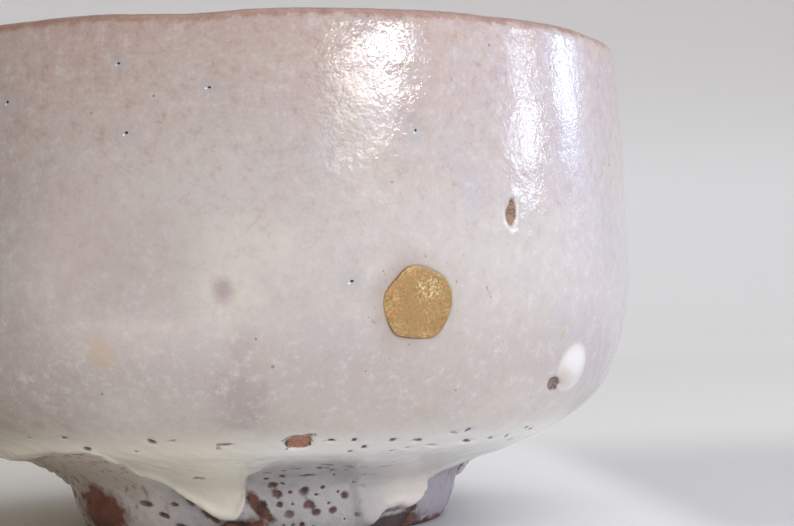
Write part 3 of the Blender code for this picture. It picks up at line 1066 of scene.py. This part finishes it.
def mixed(first, second, share):
    """The first colour, with this share of the second over it."""
    sockets = {"Factor": share, "A": first, "B": second}
    return share.node("ShaderNodeMix", {"data_type": "RGBA"}, sockets, "Result")


def toned(colour, tone, share):
    """The colour multiplied by a tone, by this share."""
    sockets = {"Factor": share, "A": colour, "B": tone}
    return share.node("ShaderNodeMix", {"data_type": "RGBA", "blend_type": "MULTIPLY"}, sockets, "Result")


def facts(start):
    """Reads the facts that the shape tree stored."""
    names = {"thrown": "Vector", "along": "Fac", "mark": "Vector", "mark_away": "Fac", "mark_kind": "Fac"}
    wires = [
        start.node("ShaderNodeAttribute", {"attribute_name": name}, None, output)
        for name, output in names.items()
    ]
    return Skin(*wires)


# %% Name the colours of the glaze and the clay
MILK = paint(215, 206, 198)
BLUSH = paint(207, 182, 170)
DEEP_BLUSH = paint(188, 158, 147)
PALE_MILK = paint(226, 219, 213)
BEIGE = paint(204, 192, 172)
LEFT_SHADE_MILK = paint(186, 173, 163)
LEFT_SHADE_TONE = paint(232, 231, 230)
PINK_MILK = paint(222, 203, 194)
DEEP_MAUVE = paint(174, 158, 155)
CREAM = paint(232, 226, 210)
RUN_CREAM = paint(252, 246, 227)
DULL_RUN = paint(221, 212, 202)
BAND_MILK = paint(250, 248, 243)
LAVENDER = paint(198, 190, 196)
MAUVE_MILK = paint(195, 184, 177)
LIP_BROWN = paint(156, 108, 83)
LIP_EDGE = paint(116, 80, 62)
SPECK = paint(136, 114, 98)
HOLE = paint(40, 34, 31)
NICK_GREY = paint(84, 77, 68)
HALO = paint(176, 172, 173)
GLINT = paint(248, 247, 245)
OCHRE = paint(206, 176, 132)
TERRACOTTA = paint(184, 132, 107)
CLAY = paint(120, 78, 62)
DARK_CLAY = paint(66, 46, 40)
GREY_CLAY = paint(84, 74, 72)
WARM_CLAY = paint(164, 108, 86)
SLIP = paint(197, 193, 191)
PALE_SLIP = paint(232, 224, 216)
GREY_SLIP = paint(170, 162, 161)
MAUVE_SLIP = paint(214, 199, 186)
LAVENDER_SLIP = paint(158, 152, 160)
DIMPLE_MAUVE = paint(172, 150, 149)
PIT_FILL, PIT_FILL_DARK, PIT_SHADE = paint(172, 142, 118), paint(138, 105, 86), paint(84, 62, 50)
CHIP_FILL_DARK = paint(150, 104, 83)
TORN_DARK, TORN_PALE = paint(104, 86, 76), paint(158, 140, 128)
LACQUER_STAIN, LACQUER_LINE = paint(176, 160, 146), paint(104, 84, 62)


# %% Colour the glaze of the wall
class Stain(NamedTuple):
    """A soft stain in the glaze, with its strength."""

    azimuth: float
    height: float
    width: float
    length: float
    strength: float


STAINS = (
    Stain(-20.1, 33.7, 4.6, 7.5, 0.4),
    Stain(-9.3, 37.5, 3.0, 2.5, 0.3),
    Stain(47.0, 33.6, 1.2, 1.6, 0.6),
    Stain(12.3, 69.0, 6.0, 12.0, 0.15),
    Stain(24.1, 23.2, 3.2, 2.2, 0.25),
    Stain(14.0, 17.9, 6.0, 1.6, 0.22),
)
CREAM_PATCHES = (
    Stain(-1.6, 48.4, 22, 12, 0.5),
    Stain(-4.0, 42.5, 13, 12, 0.75),
    Stain(5.0, 18.0, 26, 6, 0.5),
)
GREY_PATCHES = (
    Stain(66, 40, 60, 50, 0.5),
    Stain(50, 70, 62, 44, 0.6),
    Stain(-14, 46, 24, 20, 0.4),
    Stain(9, 34, 16, 9, 0.25),
)
# Painted shade: darker patches on the left of the wall.
LEFT_SHADE_PATCHES = (
    Stain(-48, 30, 62, 34, 1.0),
    Stain(-46, 58, 52, 48, 0.75),
)
PINK_PATCHES = (Stain(-20, 46, 28, 30, 0.55),)
MAUVE_PATCHES = (
    Stain(-2.5, 25.5, 10, 14, 0.55),
    Stain(-1.5, 33, 6, 12, 0.35),
)


def patches(skin, stains):
    """The strongest of these stains at each point, with wandering edges."""
    wander = grain(skin.place, 3.0, seed=31, detail=3) * 1.3
    shares = [
        smooth(distance(*skin.local(*stain[:4])) + wander, 1.3, 0.3) * stain.strength
        for stain in stains
    ]
    return largest(*shares)


def wall_colour(skin):
    """Milky on the wall, pink towards the lip, cream below, then clouded, patched and mottled, with painted
    shade in a band low on the wall, in patches on the left and towards the left.
    """
    place, height = skin.place, skin.height
    cloudy = grain(place, 24, seed=32, detail=2)
    upper = smooth(height + cloudy * 46, 44, 90)
    lower = smooth(height + cloudy * 14, 30, 13)
    colour = mixed(mixed(MILK, BLUSH, upper), CREAM, lower)
    shaded = mixed(MAUVE_MILK, LAVENDER, smooth(skin.azimuth, -12, 12))
    colour = mixed(colour, shaded, smooth(grain(place, 15, seed=33, detail=2), 0.02, 0.30) * 0.5)
    # Painted shade: a darker mauve band low on the wall, about 29 mm up.
    colour = mixed(colour, MAUVE_MILK, bell(height + cloudy * 10, 29, 8) * 0.8)
    # Painted shade: darker patches on the left of the wall, away from the windows.
    colour = mixed(colour, LEFT_SHADE_MILK, patches(skin, LEFT_SHADE_PATCHES))
    colour = mixed(colour, PINK_MILK, patches(skin, PINK_PATCHES))
    colour = mixed(colour, CREAM, patches(skin, CREAM_PATCHES))
    colour = mixed(colour, DEEP_MAUVE, patches(skin, MAUVE_PATCHES))
    colour = mixed(colour, shaded, patches(skin, GREY_PATCHES))
    mottle = grain(place, 2.2, seed=34, detail=4, roughness=0.72)
    flecked = grain(place, 0.7, seed=44, detail=3, roughness=0.7)
    near_lip = 0.35 + 0.65 * smooth(height, 40, 80)
    colour = mixed(colour, BEIGE, smooth(grain(place, 5, seed=46, detail=3), 0.0, 0.2) * near_lip * 0.35)
    colour = mixed(colour, DEEP_BLUSH, smooth(mottle + flecked * 0.5, -0.01, 0.27) * near_lip * 0.70)
    colour = mixed(colour, PALE_MILK, smooth(mottle + flecked * 0.5, 0.01, -0.27) * 0.60)
    colour = mixed(colour, OCHRE, patches(skin, STAINS))
    # Painted shade: the wall is toned darker towards the left, away from the windows.
    return toned(colour, LEFT_SHADE_TONE, smooth(skin.x, 75, -30))


def specks(skin):
    """Sparse fine specks of iron, each in a cell of its own."""
    sockets = {"Vector": skin.place, "Scale": 0.42, "Randomness": 1}
    away = skin.place.node("ShaderNodeTexVoronoi", None, sockets, "Distance")
    chance_of_one = skin.place.node("ShaderNodeTexVoronoi", None, sockets, "Color")
    size = chance_of_one.node("ShaderNodeSeparateColor", None, {0: chance_of_one}, "Red") ** 9 * 0.13
    return smooth(away - size, 0.03, -0.03)


def lip_share(skin, depth):
    """1 where the glaze has drawn off the lip and left it brown, in an uneven band."""
    line = BOWL_HEIGHT - depth + grain(skin.place, 2.4, seed=35, detail=5, roughness=0.75) * 3.8
    return smooth(skin.height, line - 0.6, line + 0.6)


# %% Colour the marks
TEETH = 9


def mark_colours(skin, colour):
    """Dark openings for the small marks. A pinhole also has a wide grey halo and a painted highlight, a pale
    glint at its lower left.
    """
    away = skin.mark_away
    across = skin.mark.axis("X")
    up = skin.mark.axis("Y")
    pinhole = smooth(skin.kind, 0.6, 0.4)
    slip_pit = smooth(skin.kind, 1.4, 1.6) * smooth(skin.kind, 2.6, 2.4)
    fleck = smooth(skin.kind, 2.4, 2.6)
    colour = mixed(colour, HALO, smooth(away, 12.0, 0.5) * pinhole * 0.45 * skin.outside)
    # Painted highlight: a pale spot at each pinhole's lower left, where light would catch its inner wall.
    glint = smooth(distance(across + 1.6, up + 1.5), 0.9, 0.4) * pinhole
    colour = mixed(colour, GLINT, glint * 0.8 * skin.outside)
    ragged = away + grain(skin.place, 0.9, seed=36, detail=2) * (0.5 + slip_pit * 0.7)
    in_slip = 1 - cover(skin) * slip_pit
    soft_edge = smooth(ragged, 1.5, 0.9) * slip_pit * in_slip * 0.6
    colour = mixed(colour, CLAY, soft_edge * skin.outside)
    ruddy = smooth(grain(skin.place, 2.6, seed=48, detail=1), -0.10, 0.10) * smooth(away, 0.9, 0.3)
    opening = mixed(HOLE, NICK_GREY, smooth(skin.kind, 0.4, 0.6))
    opening = mixed(opening, mixed(DARK_CLAY, CLAY, ruddy), slip_pit)
    opening = mixed(opening, SPECK, fleck)
    patchy = smooth(grain(skin.place, 4, seed=47, detail=2), -0.16, 0.04)
    faint = (1 - fleck * 0.3 - slip_pit * 0.18) * (1 - (1 - pinhole) * (1 - patchy) * 0.6)
    soft = (1 - pinhole) * 0.25
    return mixed(colour, opening, smooth(ragged, 1.05 + soft, 0.75 - soft) * in_slip * faint * skin.outside)


def large_mark_colours(skin, colour):
    """The dimple, the pit, the chip, the tear with its bead, and the stained ring round the gold, with
    painted highlights on the pit and the bead, and painted shade in the pit, above the chip and on the bead.
    """
    pit, chip, tear = side_pit_distance(skin), chip_distance(skin), tear_pit_distance(skin)
    bead, repair, dimple = tear_bead_distance(skin), repair_distance(skin), dimple_distance(skin)
    fine = grain(skin.place, 0.5, seed=37, detail=2)
    colour = mixed(colour, PALE_MILK, smooth(bead, 1.2, 0.9) * skin.outside)
    # Painted shade and highlight on the bead: beige on its side towards the torn pit, and a glint on its far
    # side.
    colour = mixed(colour, BEIGE, smooth(bead, 1.15, 0.85) * smooth(tear, 2.8, 1.3) * skin.outside * 0.5)
    colour = mixed(colour, GLINT, smooth(bead, 1.05, 0.7) * smooth(tear, 1.8, 3.2) * skin.outside * 0.4)
    dimple_core = smooth(dimple + fine * 0.5, 1.2, 0.2)
    colour = mixed(colour, DIMPLE_MAUVE, dimple_core * skin.outside * 0.8)

    across, up = skin.local(*SIDE_PIT)
    # Painted highlight: a bright crescent on the pit's lower right rim.
    gloss = bell(pit, 1.3, 0.2) * smooth(across - up * 0.6, -0.4, 0.9)
    colour = mixed(colour, GLINT, gloss * skin.outside * 0.7)
    pit_fill = mixed(PIT_FILL, PIT_FILL_DARK, smooth(fine + up * 0.12, -0.05, 0.15))
    colour = mixed(colour, pit_fill, smooth(pit, 1.05, 0.85) * skin.outside)
    pit_shade = bell(pit, 1.0, 0.16) * smooth(across - up * 0.4, 0.3, -0.5)
    colour = mixed(colour, PIT_SHADE, pit_shade * skin.outside * 0.7)

    across, up = skin.local(*CHIP)
    chip_fill = mixed(TERRACOTTA, CHIP_FILL_DARK, smooth(fine, -0.1, 0.2))
    colour = mixed(colour, chip_fill, smooth(chip, 1.0, 0.9) * skin.outside)
    zigzag = up * TEETH
    teeth = smooth(across, 0.62, 0.85) * smooth(zigzag.maths("SINE", zigzag), 0.2, 0.7)
    tip = smooth(across, -0.62, -0.88)
    colour = mixed(colour, HOLE, largest(teeth, tip) * smooth(chip, 1.12, 1.0) * skin.outside * 0.9)
    # Painted shade: a dark arc just above the chip, under the edge of the glaze.
    chip_shade_arc = bell(chip, 1.22, 0.07) * smooth(up - across * 0.3, 0.3, 0.7)
    colour = mixed(colour, HOLE, chip_shade_arc * skin.outside * 0.75)

    torn = mixed(TORN_DARK, TORN_PALE, smooth(fine, -0.15, 0.15))
    colour = mixed(colour, torn, smooth(tear, 1.05, 0.8) * skin.outside)

    across, up = skin.local(*REPAIR)
    leftward = smooth(across, 0.9, -0.9)
    ragged = repair + grain(skin.place, 3, seed=38, detail=2) * 0.6
    stained = smooth(ragged, 1.6, 0.95) * (0.24 + leftward * 0.46)
    colour = mixed(colour, LACQUER_STAIN, stained * skin.outside)
    lower_line = smooth(up, 0.1, -0.6)
    return mixed(colour, LACQUER_LINE, bell(repair, 1.0, 0.022) * lower_line * 0.4 * skin.outside)


# %% Colour the foot
BRANCH = Oval(-1.9, 6.0, 2.2, 7.6, -36)
CLAY_PATCHES = (
    Stain(-7.5, 2.2, 11, 4.4, 1),
    Stain(-56, 4.4, 17, 10, 1),
    Stain(41, 1.4, 15, 3.6, 1),
    Stain(47, 3.6, 4, 2.2, 0.9),
)


def bare_clay(skin):
    """Where neither glaze nor slip covers the clay of the foot."""
    rough = grain(skin.place, 1.6, seed=40, detail=3)
    hem = smooth(skin.height + rough * 2.6, 1.5, 0.5)
    islands = smooth(grain(skin.place, 6.5, seed=41, detail=3) + rough * 0.2, 0.13, 0.19)
    behind = smooth(skin.azimuth.maths("ABSOLUTE", skin.azimuth), 58, 74)
    branch = smooth(distance(*skin.local(*BRANCH)) + rough * 1.6, 1.35, 0.7)
    under_edge = bell(skin.height - skin.edge, -0.6, 0.45) * smooth(rough, 0.0, 0.12)
    under_edge = under_edge * (1 - feathered_share(skin)) * 0.8
    return largest(hem, islands * behind, branch, under_edge, patches(skin, CLAY_PATCHES) * 1.6)


def foot_colour(skin):
    """Greyish slip, worn or burst through to the red clay, made paler on the left partly as painted light.
    """
    greyer = smooth(grain(skin.place, 5, seed=42, detail=3), -0.06, 0.16)
    streaked = skin.place.vectors("MULTIPLY", skin.place, (1, 1, 0.4))
    streaks = smooth(grain(streaked, 1.6, seed=45, detail=3, roughness=0.6), 0.04, 0.16)
    right, left = smooth(skin.azimuth, 34, 50), smooth(skin.azimuth, -20, -34)
    beyond = smooth(skin.azimuth.maths("ABSOLUTE", skin.azimuth), 44, 66)
    slip = mixed(SLIP, GREY_SLIP, largest(greyer * 0.4, beyond * (0.45 + greyer * 0.4), right * 0.5))
    # Painted light, in part: the slip and its mauve band are paler on the left of the foot, standing in for
    # light thrown up from the table.
    slip = mixed(slip, PALE_SLIP, left * (1 - greyer * 0.4) * 0.9)
    slip = mixed(slip, MAUVE_SLIP, smooth(skin.azimuth, -26, -40) * smooth(skin.height, 6, 11) * 0.8)
    slip = mixed(slip, LAVENDER_SLIP, right * 0.8)
    slip = mixed(slip, mixed(CLAY, DARK_CLAY, greyer), streaks * largest(left, beyond) * 0.45)
    clay = mixed(CLAY, DARK_CLAY, smooth(grain(skin.place, 2.2, seed=43, detail=3), -0.12, 0.12))
    # Painted light, in part: the clay is warmer and paler on the far left.
    clay = mixed(clay, WARM_CLAY, smooth(skin.azimuth, -38, -48) * 0.5)
    clay = mixed(clay, GREY_CLAY, smooth(skin.azimuth, 22, 30) * smooth(skin.azimuth, 46, 42) * 0.8)
    return mixed(slip, clay, bare_clay(skin))


def bowl_colour(skin):
    """The wall, the brown lip, the cream run and the foot, each over the one before, and then the marks."""
    colour = wall_colour(skin)
    colour = mixed(colour, SPECK, specks(skin) * 0.75)
    colour = mixed(colour, LIP_BROWN, lip_share(skin, 1.4) * 0.76)
    colour = mixed(colour, LIP_EDGE, lip_share(skin, 0.3) * 0.5)
    thick = smooth(skin.height, 22, 16) * cover(skin) * 0.92
    run_colour = mixed(RUN_CREAM, DULL_RUN, smooth(skin.azimuth, 16, 28))
    run_colour = mixed(run_colour, BAND_MILK, smooth(skin.azimuth, -12, 8) * smooth(skin.height, 10, 14))
    colour = mixed(colour, run_colour, thick * skin.outside)
    thinned = smooth(skin.azimuth, -5, 1) * smooth(skin.azimuth, 39, 27) * smooth(skin.height, 15.8, 12)
    colour = mixed(colour, SLIP, thinned * skin.outside * 0.85)
    colour = mixed(colour, foot_colour(skin), (1 - cover(skin, 0.5)) * skin.outside)
    return large_mark_colours(skin, mark_colours(skin, colour))


# %% Work the gloss and the fine relief
PEEL = 0.068
FINE_PEEL = 0.024
GRIT = 0.16
GLOSSY, PATCHY, MATT = 0.07, 0.10, 0.62
GLAZE_IOR = 1.52


def bare_share(skin):
    """1 on rough unglazed ground: the clay of the foot and the fillings of the pits."""
    foot = (1 - cover(skin, 0.5)) * skin.outside
    pits = largest(
        smooth(side_pit_distance(skin), 1.05, 0.9),
        smooth(chip_distance(skin), 1.0, 0.9),
        smooth(tear_pit_distance(skin), 1.05, 0.9),
    )
    return largest(foot, pits * skin.outside)


def bowl_roughness(skin, bare):
    """Glossy glaze, duller in patches, and matt clay."""
    patchy = smooth(grain(skin.place, 11, seed=51, detail=2), -0.15, 0.25)
    glossy = GLOSSY + patchy * PATCHY
    return glossy + (MATT - glossy) * bare


def fine_relief(skin, bare):
    """Height in millimetres of what is too fine for the mesh."""
    peel = grain(skin.place, 1.15, seed=52, detail=3) * PEEL
    peel = peel + grain(skin.place, 0.42, seed=53, detail=1) * FINE_PEEL
    gritty = grain(skin.place, 0.55, seed=54, detail=3, roughness=0.65) * GRIT
    pits = smooth(skin.mark_away, 1.15, 0.6) * smooth(skin.kind, 2.6, 2.4) * -0.10
    return peel + (gritty - peel) * bare + (pits - specks(skin) * 0.02) * skin.outside


def finish_with(material, colour, roughness, relief_height, constants):
    """Feeds the material's shader, with a bump whose height is in millimetres."""
    sockets = {"Strength": 1, "Distance": MM, "Height": relief_height}
    normal = relief_height.node("ShaderNodeBump", None, sockets)
    tree = material.node_tree
    wires = {"Base Color": colour, "Roughness": roughness, "Normal": normal}
    feed(tree, tree.nodes["Principled BSDF"], {**wires, **constants})
    print(f"{material.name} takes {len(tree.nodes)} nodes")


def mix_glaze(material):
    """The glaze, with the clay where it lies bare."""
    skin = facts(Wire(material.node_tree))
    bare = bare_share(skin)
    roughness, height = bowl_roughness(skin, bare), fine_relief(skin, bare)
    finish_with(material, bowl_colour(skin), roughness, height, {"IOR": GLAZE_IOR})


mix_glaze(glaze)

# %% [markdown]
# ## The gold
#
# Powdered gold is metal, but its grains lie every way, so it looks matt and sparkles a little. The grain
# is in the roughness and in a fine bump. The colour is a warm tan gold, paler where the powder lies thick,
# with one painted highlight.

# %% Mix the gold
GOLD = paint(172, 141, 94)
PALE_GOLD = paint(212, 183, 133)
ROSE_GOLD = paint(196, 140, 96)
DARK_GOLD = paint(128, 94, 54)
GOLD_HIGHLIGHT = paint(240, 218, 176)
GOLD_METALLIC = 0.85
# The middle of the painted highlight on the gold.
GOLD_HIGHLIGHT_PLACE = (GOLD_AZIMUTH + 1.4, GOLD_CENTRE_HEIGHT + 2.4)


def mix_gold(material):
    """Matt powdered gold, redder and darker between its grains, with one painted highlight."""
    place = Wire(material.node_tree).node("ShaderNodeTexCoord", None, None, "Object")
    place = place.vectors("MULTIPLY", place, (1 / MM, 1 / MM, 1 / MM))
    soft, coarse = grain(place, 2.6, seed=61, detail=2), grain(place, 0.8, seed=63, detail=2)
    fine = grain(place, 0.45, seed=62, detail=3, roughness=0.75)
    centre, across, up, out = wall_place(*GOLD_HIGHLIGHT_PLACE)
    offset = place.vectors("SUBTRACT", place, tuple(centre + out * 0.3))
    # Painted highlight: one pale spot a little above and right of the gold's middle.
    painted_highlight = smooth(offset.vectors("LENGTH", offset, output="Value") + coarse * 3, 3.0, 1.0)
    colour = mixed(GOLD, ROSE_GOLD, smooth(coarse, 0.0, 0.18) * 0.7)
    colour = mixed(colour, PALE_GOLD, smooth(fine + soft * 0.4, 0.02, 0.22) * 0.75)
    colour = mixed(colour, DARK_GOLD, smooth(fine, -0.04, -0.24) * 0.8)
    colour = mixed(colour, GOLD_HIGHLIGHT, painted_highlight * smooth(fine, -0.02, 0.12) * 0.8)
    height, roughness = fine * 0.09 + soft * 0.03, 0.50 + fine * 0.3
    finish_with(material, colour, roughness, height, {"Metallic": GOLD_METALLIC})


mix_gold(gold_powder)

# %% [markdown]
# ## Camera, light and table
#
# The camera stands where the photographer stood: close, at half the bowl's height, and turned a little to
# the right. One sheet of paper is the table and the backdrop. The light comes from windows in front and to
# the right. Each is a soft rectangle, placed by the angle at which the bowl sees it, because a glossy
# glaze mirrors whatever lights it.

# %% Place the camera
SENSOR_WIDTH = 36
LENS = 80.61
CAMERA_PLACE = (0, -0.336, 0.04115)
CAMERA_PAN = -4.6
CAMERA_PITCH = 91.0
CAMERA_ROLL = -1.7

camera_data = bpy.data.cameras.new("camera")
camera_data.sensor_width = SENSOR_WIDTH
camera_data.lens = LENS
camera = placed("camera", camera_data)
camera.matrix_world = (
    Matrix.Translation(CAMERA_PLACE)
    @ Matrix.Rotation(math.radians(CAMERA_PAN), 4, "Z")
    @ Matrix.Rotation(math.radians(CAMERA_PITCH), 4, "X")
    @ Matrix.Rotation(math.radians(CAMERA_ROLL), 4, "Z")
)
bpy.context.scene.camera = camera
print(f"the camera stands {-CAMERA_PLACE[1] / MM:.0f} mm in front of the bowl's axis")

# %% Set the table and the paper behind it
TABLE_FRONT = -1.2
TABLE_BACK = 1.0
SWEEP_RADIUS = 0.7
PAPER_TOP = 1.6
PAPER_WIDTH = 5.0
PAPER_GAP = 0.0001
SWEEP_STEPS = 24
WHITE_CARD = paint(246, 245, 243)
FRONT_PAPER = paint(206, 205, 204)
NEAR_PAPER = paint(204, 203, 201)
LEFT_SHADE_PAPER = paint(212, 207, 194)
LIT_STRIP_PAPER = paint(237, 236, 233)
FAR_PAPER = paint(234, 231, 222)
BACK_PAPER = paint(249, 246, 239)
TOP_PAPER = paint(229, 225, 217)
PAPER_ROUGHNESS = 0.7


def mix_paper():
    """A matt paper, graded from grey in front to pale behind, with a white card close in front, painted
    light right of the bowl's foot and painted shade on its left.
    """
    paper = clear_material("pale_paper")
    place = Wire(paper.node_tree).node("ShaderNodeTexCoord", None, None, "Object")
    right, behind = place.axis("X"), place.axis("Y")
    card = smooth(behind, -0.22, -0.16) * smooth(right, -0.20, -0.12) * smooth(right, 0.28, 0.22)
    # Painted shade: the floor just left of the bowl is tinted warm.
    near = mixed(NEAR_PAPER, LEFT_SHADE_PAPER, smooth(right, 0.00, -0.04))
    # Painted light: a paler strip right of the foot keeps the foot's shadow short.
    near = mixed(near, LIT_STRIP_PAPER, smooth(right, 0.026, 0.046) * smooth(right, 0.085, 0.066))
    colour = mixed(mixed(FRONT_PAPER, WHITE_CARD, card), near, smooth(behind, -0.07, -0.03))
    colour = mixed(colour, FAR_PAPER, smooth(behind, 0.05, 0.19))
    # Painted shade: further back on the left the floor is warmer and darker.
    shade_behind = smooth(behind, 0.03, 0.10) * smooth(behind, 0.45, 0.20)
    colour = mixed(colour, LEFT_SHADE_PAPER, smooth(right, 0.00, -0.04) * shade_behind)
    colour = mixed(colour, BACK_PAPER, smooth(behind, 0.45, 1.00))
    colour = mixed(colour, TOP_PAPER, smooth(behind, 1.40, 1.62))
    shader = paper.node_tree.nodes["Principled BSDF"]
    feed(paper.node_tree, shader, {"Base Color": colour, "Roughness": PAPER_ROUGHNESS})
    return paper


def sweep_paper():
    """A pale floor that curves up into a backdrop."""
    line = [(TABLE_FRONT, 0)]
    for step in range(SWEEP_STEPS + 1):
        turn = math.pi / 2 * step / SWEEP_STEPS
        line.append((TABLE_BACK + SWEEP_RADIUS * math.sin(turn), SWEEP_RADIUS * (1 - math.cos(turn))))
    line.append((TABLE_BACK + SWEEP_RADIUS, PAPER_TOP))
    left, right = -PAPER_WIDTH / 2, PAPER_WIDTH / 2
    places = [(x, y, z - PAPER_GAP) for y, z in line for x in (left, right)]
    faces = [(i, i + 1, i + 3, i + 2) for i in range(0, len(places) - 2, 2)]
    mesh = bpy.data.meshes.new("paper_sweep")
    mesh.from_pydata(places, [], faces)
    mesh.shade_smooth()
    mesh.materials.append(mix_paper())
    return placed("paper_sweep", mesh)


sweep_paper()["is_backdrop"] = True
print(f"the paper is {PAPER_WIDTH:.0f} m wide and rises to {PAPER_TOP} m behind the bowl")

# %% Hang the lights
BOWL_MIDDLE = Vector((0, 0, 0.05))
WARM_WHITE = (1, 0.98, 0.96)
COOL_WHITE = (0.80, 0.88, 1)
SKY_BLUE = (0.52, 0.66, 1)
CEILING_WHITE = (1, 0.99, 0.97)


class Window(NamedTuple):
    """A soft light as the bowl sees it, in degrees, with its brightness, colour and distance."""

    name: str
    azimuth: float
    elevation: float
    wide: float
    high: float
    radiance: float
    colour: tuple
    distance: float = 1.0


WINDOWS = (
    Window("front_window", 39.5, 18.2, 12, 3.6, 28, WARM_WHITE),
    Window("front_pane", 31.5, 15.8, 17, 2.0, 28, WARM_WHITE),
    Window("front_sill", 36, 11.8, 18, 3.2, 1.0, WARM_WHITE),
    Window("front_ledge", 31, 9.1, 13, 1.3, 8, WARM_WHITE),
    Window("side_pane", 86, 15.6, 8.5, 1.4, 20, COOL_WHITE),
    Window("side_window", 86, 10.2, 8.5, 1.9, 20, COOL_WHITE),
    Window("side_sill", 84.5, 7.2, 9, 1.8, 20, COOL_WHITE),
    Window("far_window", 106, 12.5, 9, 7, 11, SKY_BLUE),
    Window("far_sill", 106, 6.2, 7, 1.6, 5, SKY_BLUE),
    Window("ceiling", 60, 78, 60, 60, 0.9, CEILING_WHITE, distance=1.6),
)


def hang(window):
    """Hangs a window's light in the direction where the bowl sees it."""
    turn, rise = math.radians(window.azimuth), math.radians(window.elevation)
    way = Vector((math.sin(turn) * math.cos(rise), -math.cos(turn) * math.cos(rise), math.sin(rise)))
    data = bpy.data.lights.new(window.name, "AREA")
    data.shape = "RECTANGLE"
    data.size = 2 * window.distance * math.tan(math.radians(window.wide / 2))
    data.size_y = 2 * window.distance * math.tan(math.radians(window.high / 2))
    data.energy = window.radiance * math.pi * data.size * data.size_y
    data.color = window.colour
    made = placed(window.name, data)
    made.location = BOWL_MIDDLE + way * window.distance
    made.rotation_euler = way.to_track_quat("Z", "Y").to_euler()


for window in WINDOWS:
    hang(window)
print(f"{len(WINDOWS)} windows light the bowl")

# %% Light the table in front of the bowl, so that it glows up under it
LAMP_PLACE = (-0.06, -0.17, 0.20)
LAMP_SIZE = 0.12
LAMP_SPREAD = 30
LAMP_POWER = 0.065


def hang_lamp():
    """A small lamp that looks straight down and lights nothing but the table."""
    data = bpy.data.lights.new("table_lamp", "AREA")
    data.size = LAMP_SIZE
    data.spread = math.radians(LAMP_SPREAD)
    data.energy = LAMP_POWER
    placed("table_lamp", data).location = LAMP_PLACE


hang_lamp()
print(f"the lamp hangs {LAMP_PLACE[2] / MM:.0f} mm above the table")

# %% Fill the room with light
ROOM_LEFT = (0.155, 0.13, 0.092)
ROOM_RIGHT = (0.91, 0.965, 1.16)


def light_room():
    """A pale room that grows brighter from left to right."""
    world = bpy.data.worlds.new("pale_room")
    world.use_nodes = True
    bpy.context.scene.world = world
    tree = world.node_tree
    way = Wire(tree).node("ShaderNodeTexCoord", None, None, "Generated")
    across = way.axis("X") * 0.5 + 0.5
    feed(tree, tree.nodes["Background"], {"Color": mixed(ROOM_LEFT, ROOM_RIGHT, across)})


light_room()
bpy.context.scene.view_settings.view_transform = "Standard"

# %% Measure the frame
size = {"cad": [list(corner) for corner in cad_box], "visual": [list(corner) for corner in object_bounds()]}
print("the dressed bowl measures", [round((b - a) / MM, 2) for a, b in zip(*size["visual"])], "mm")
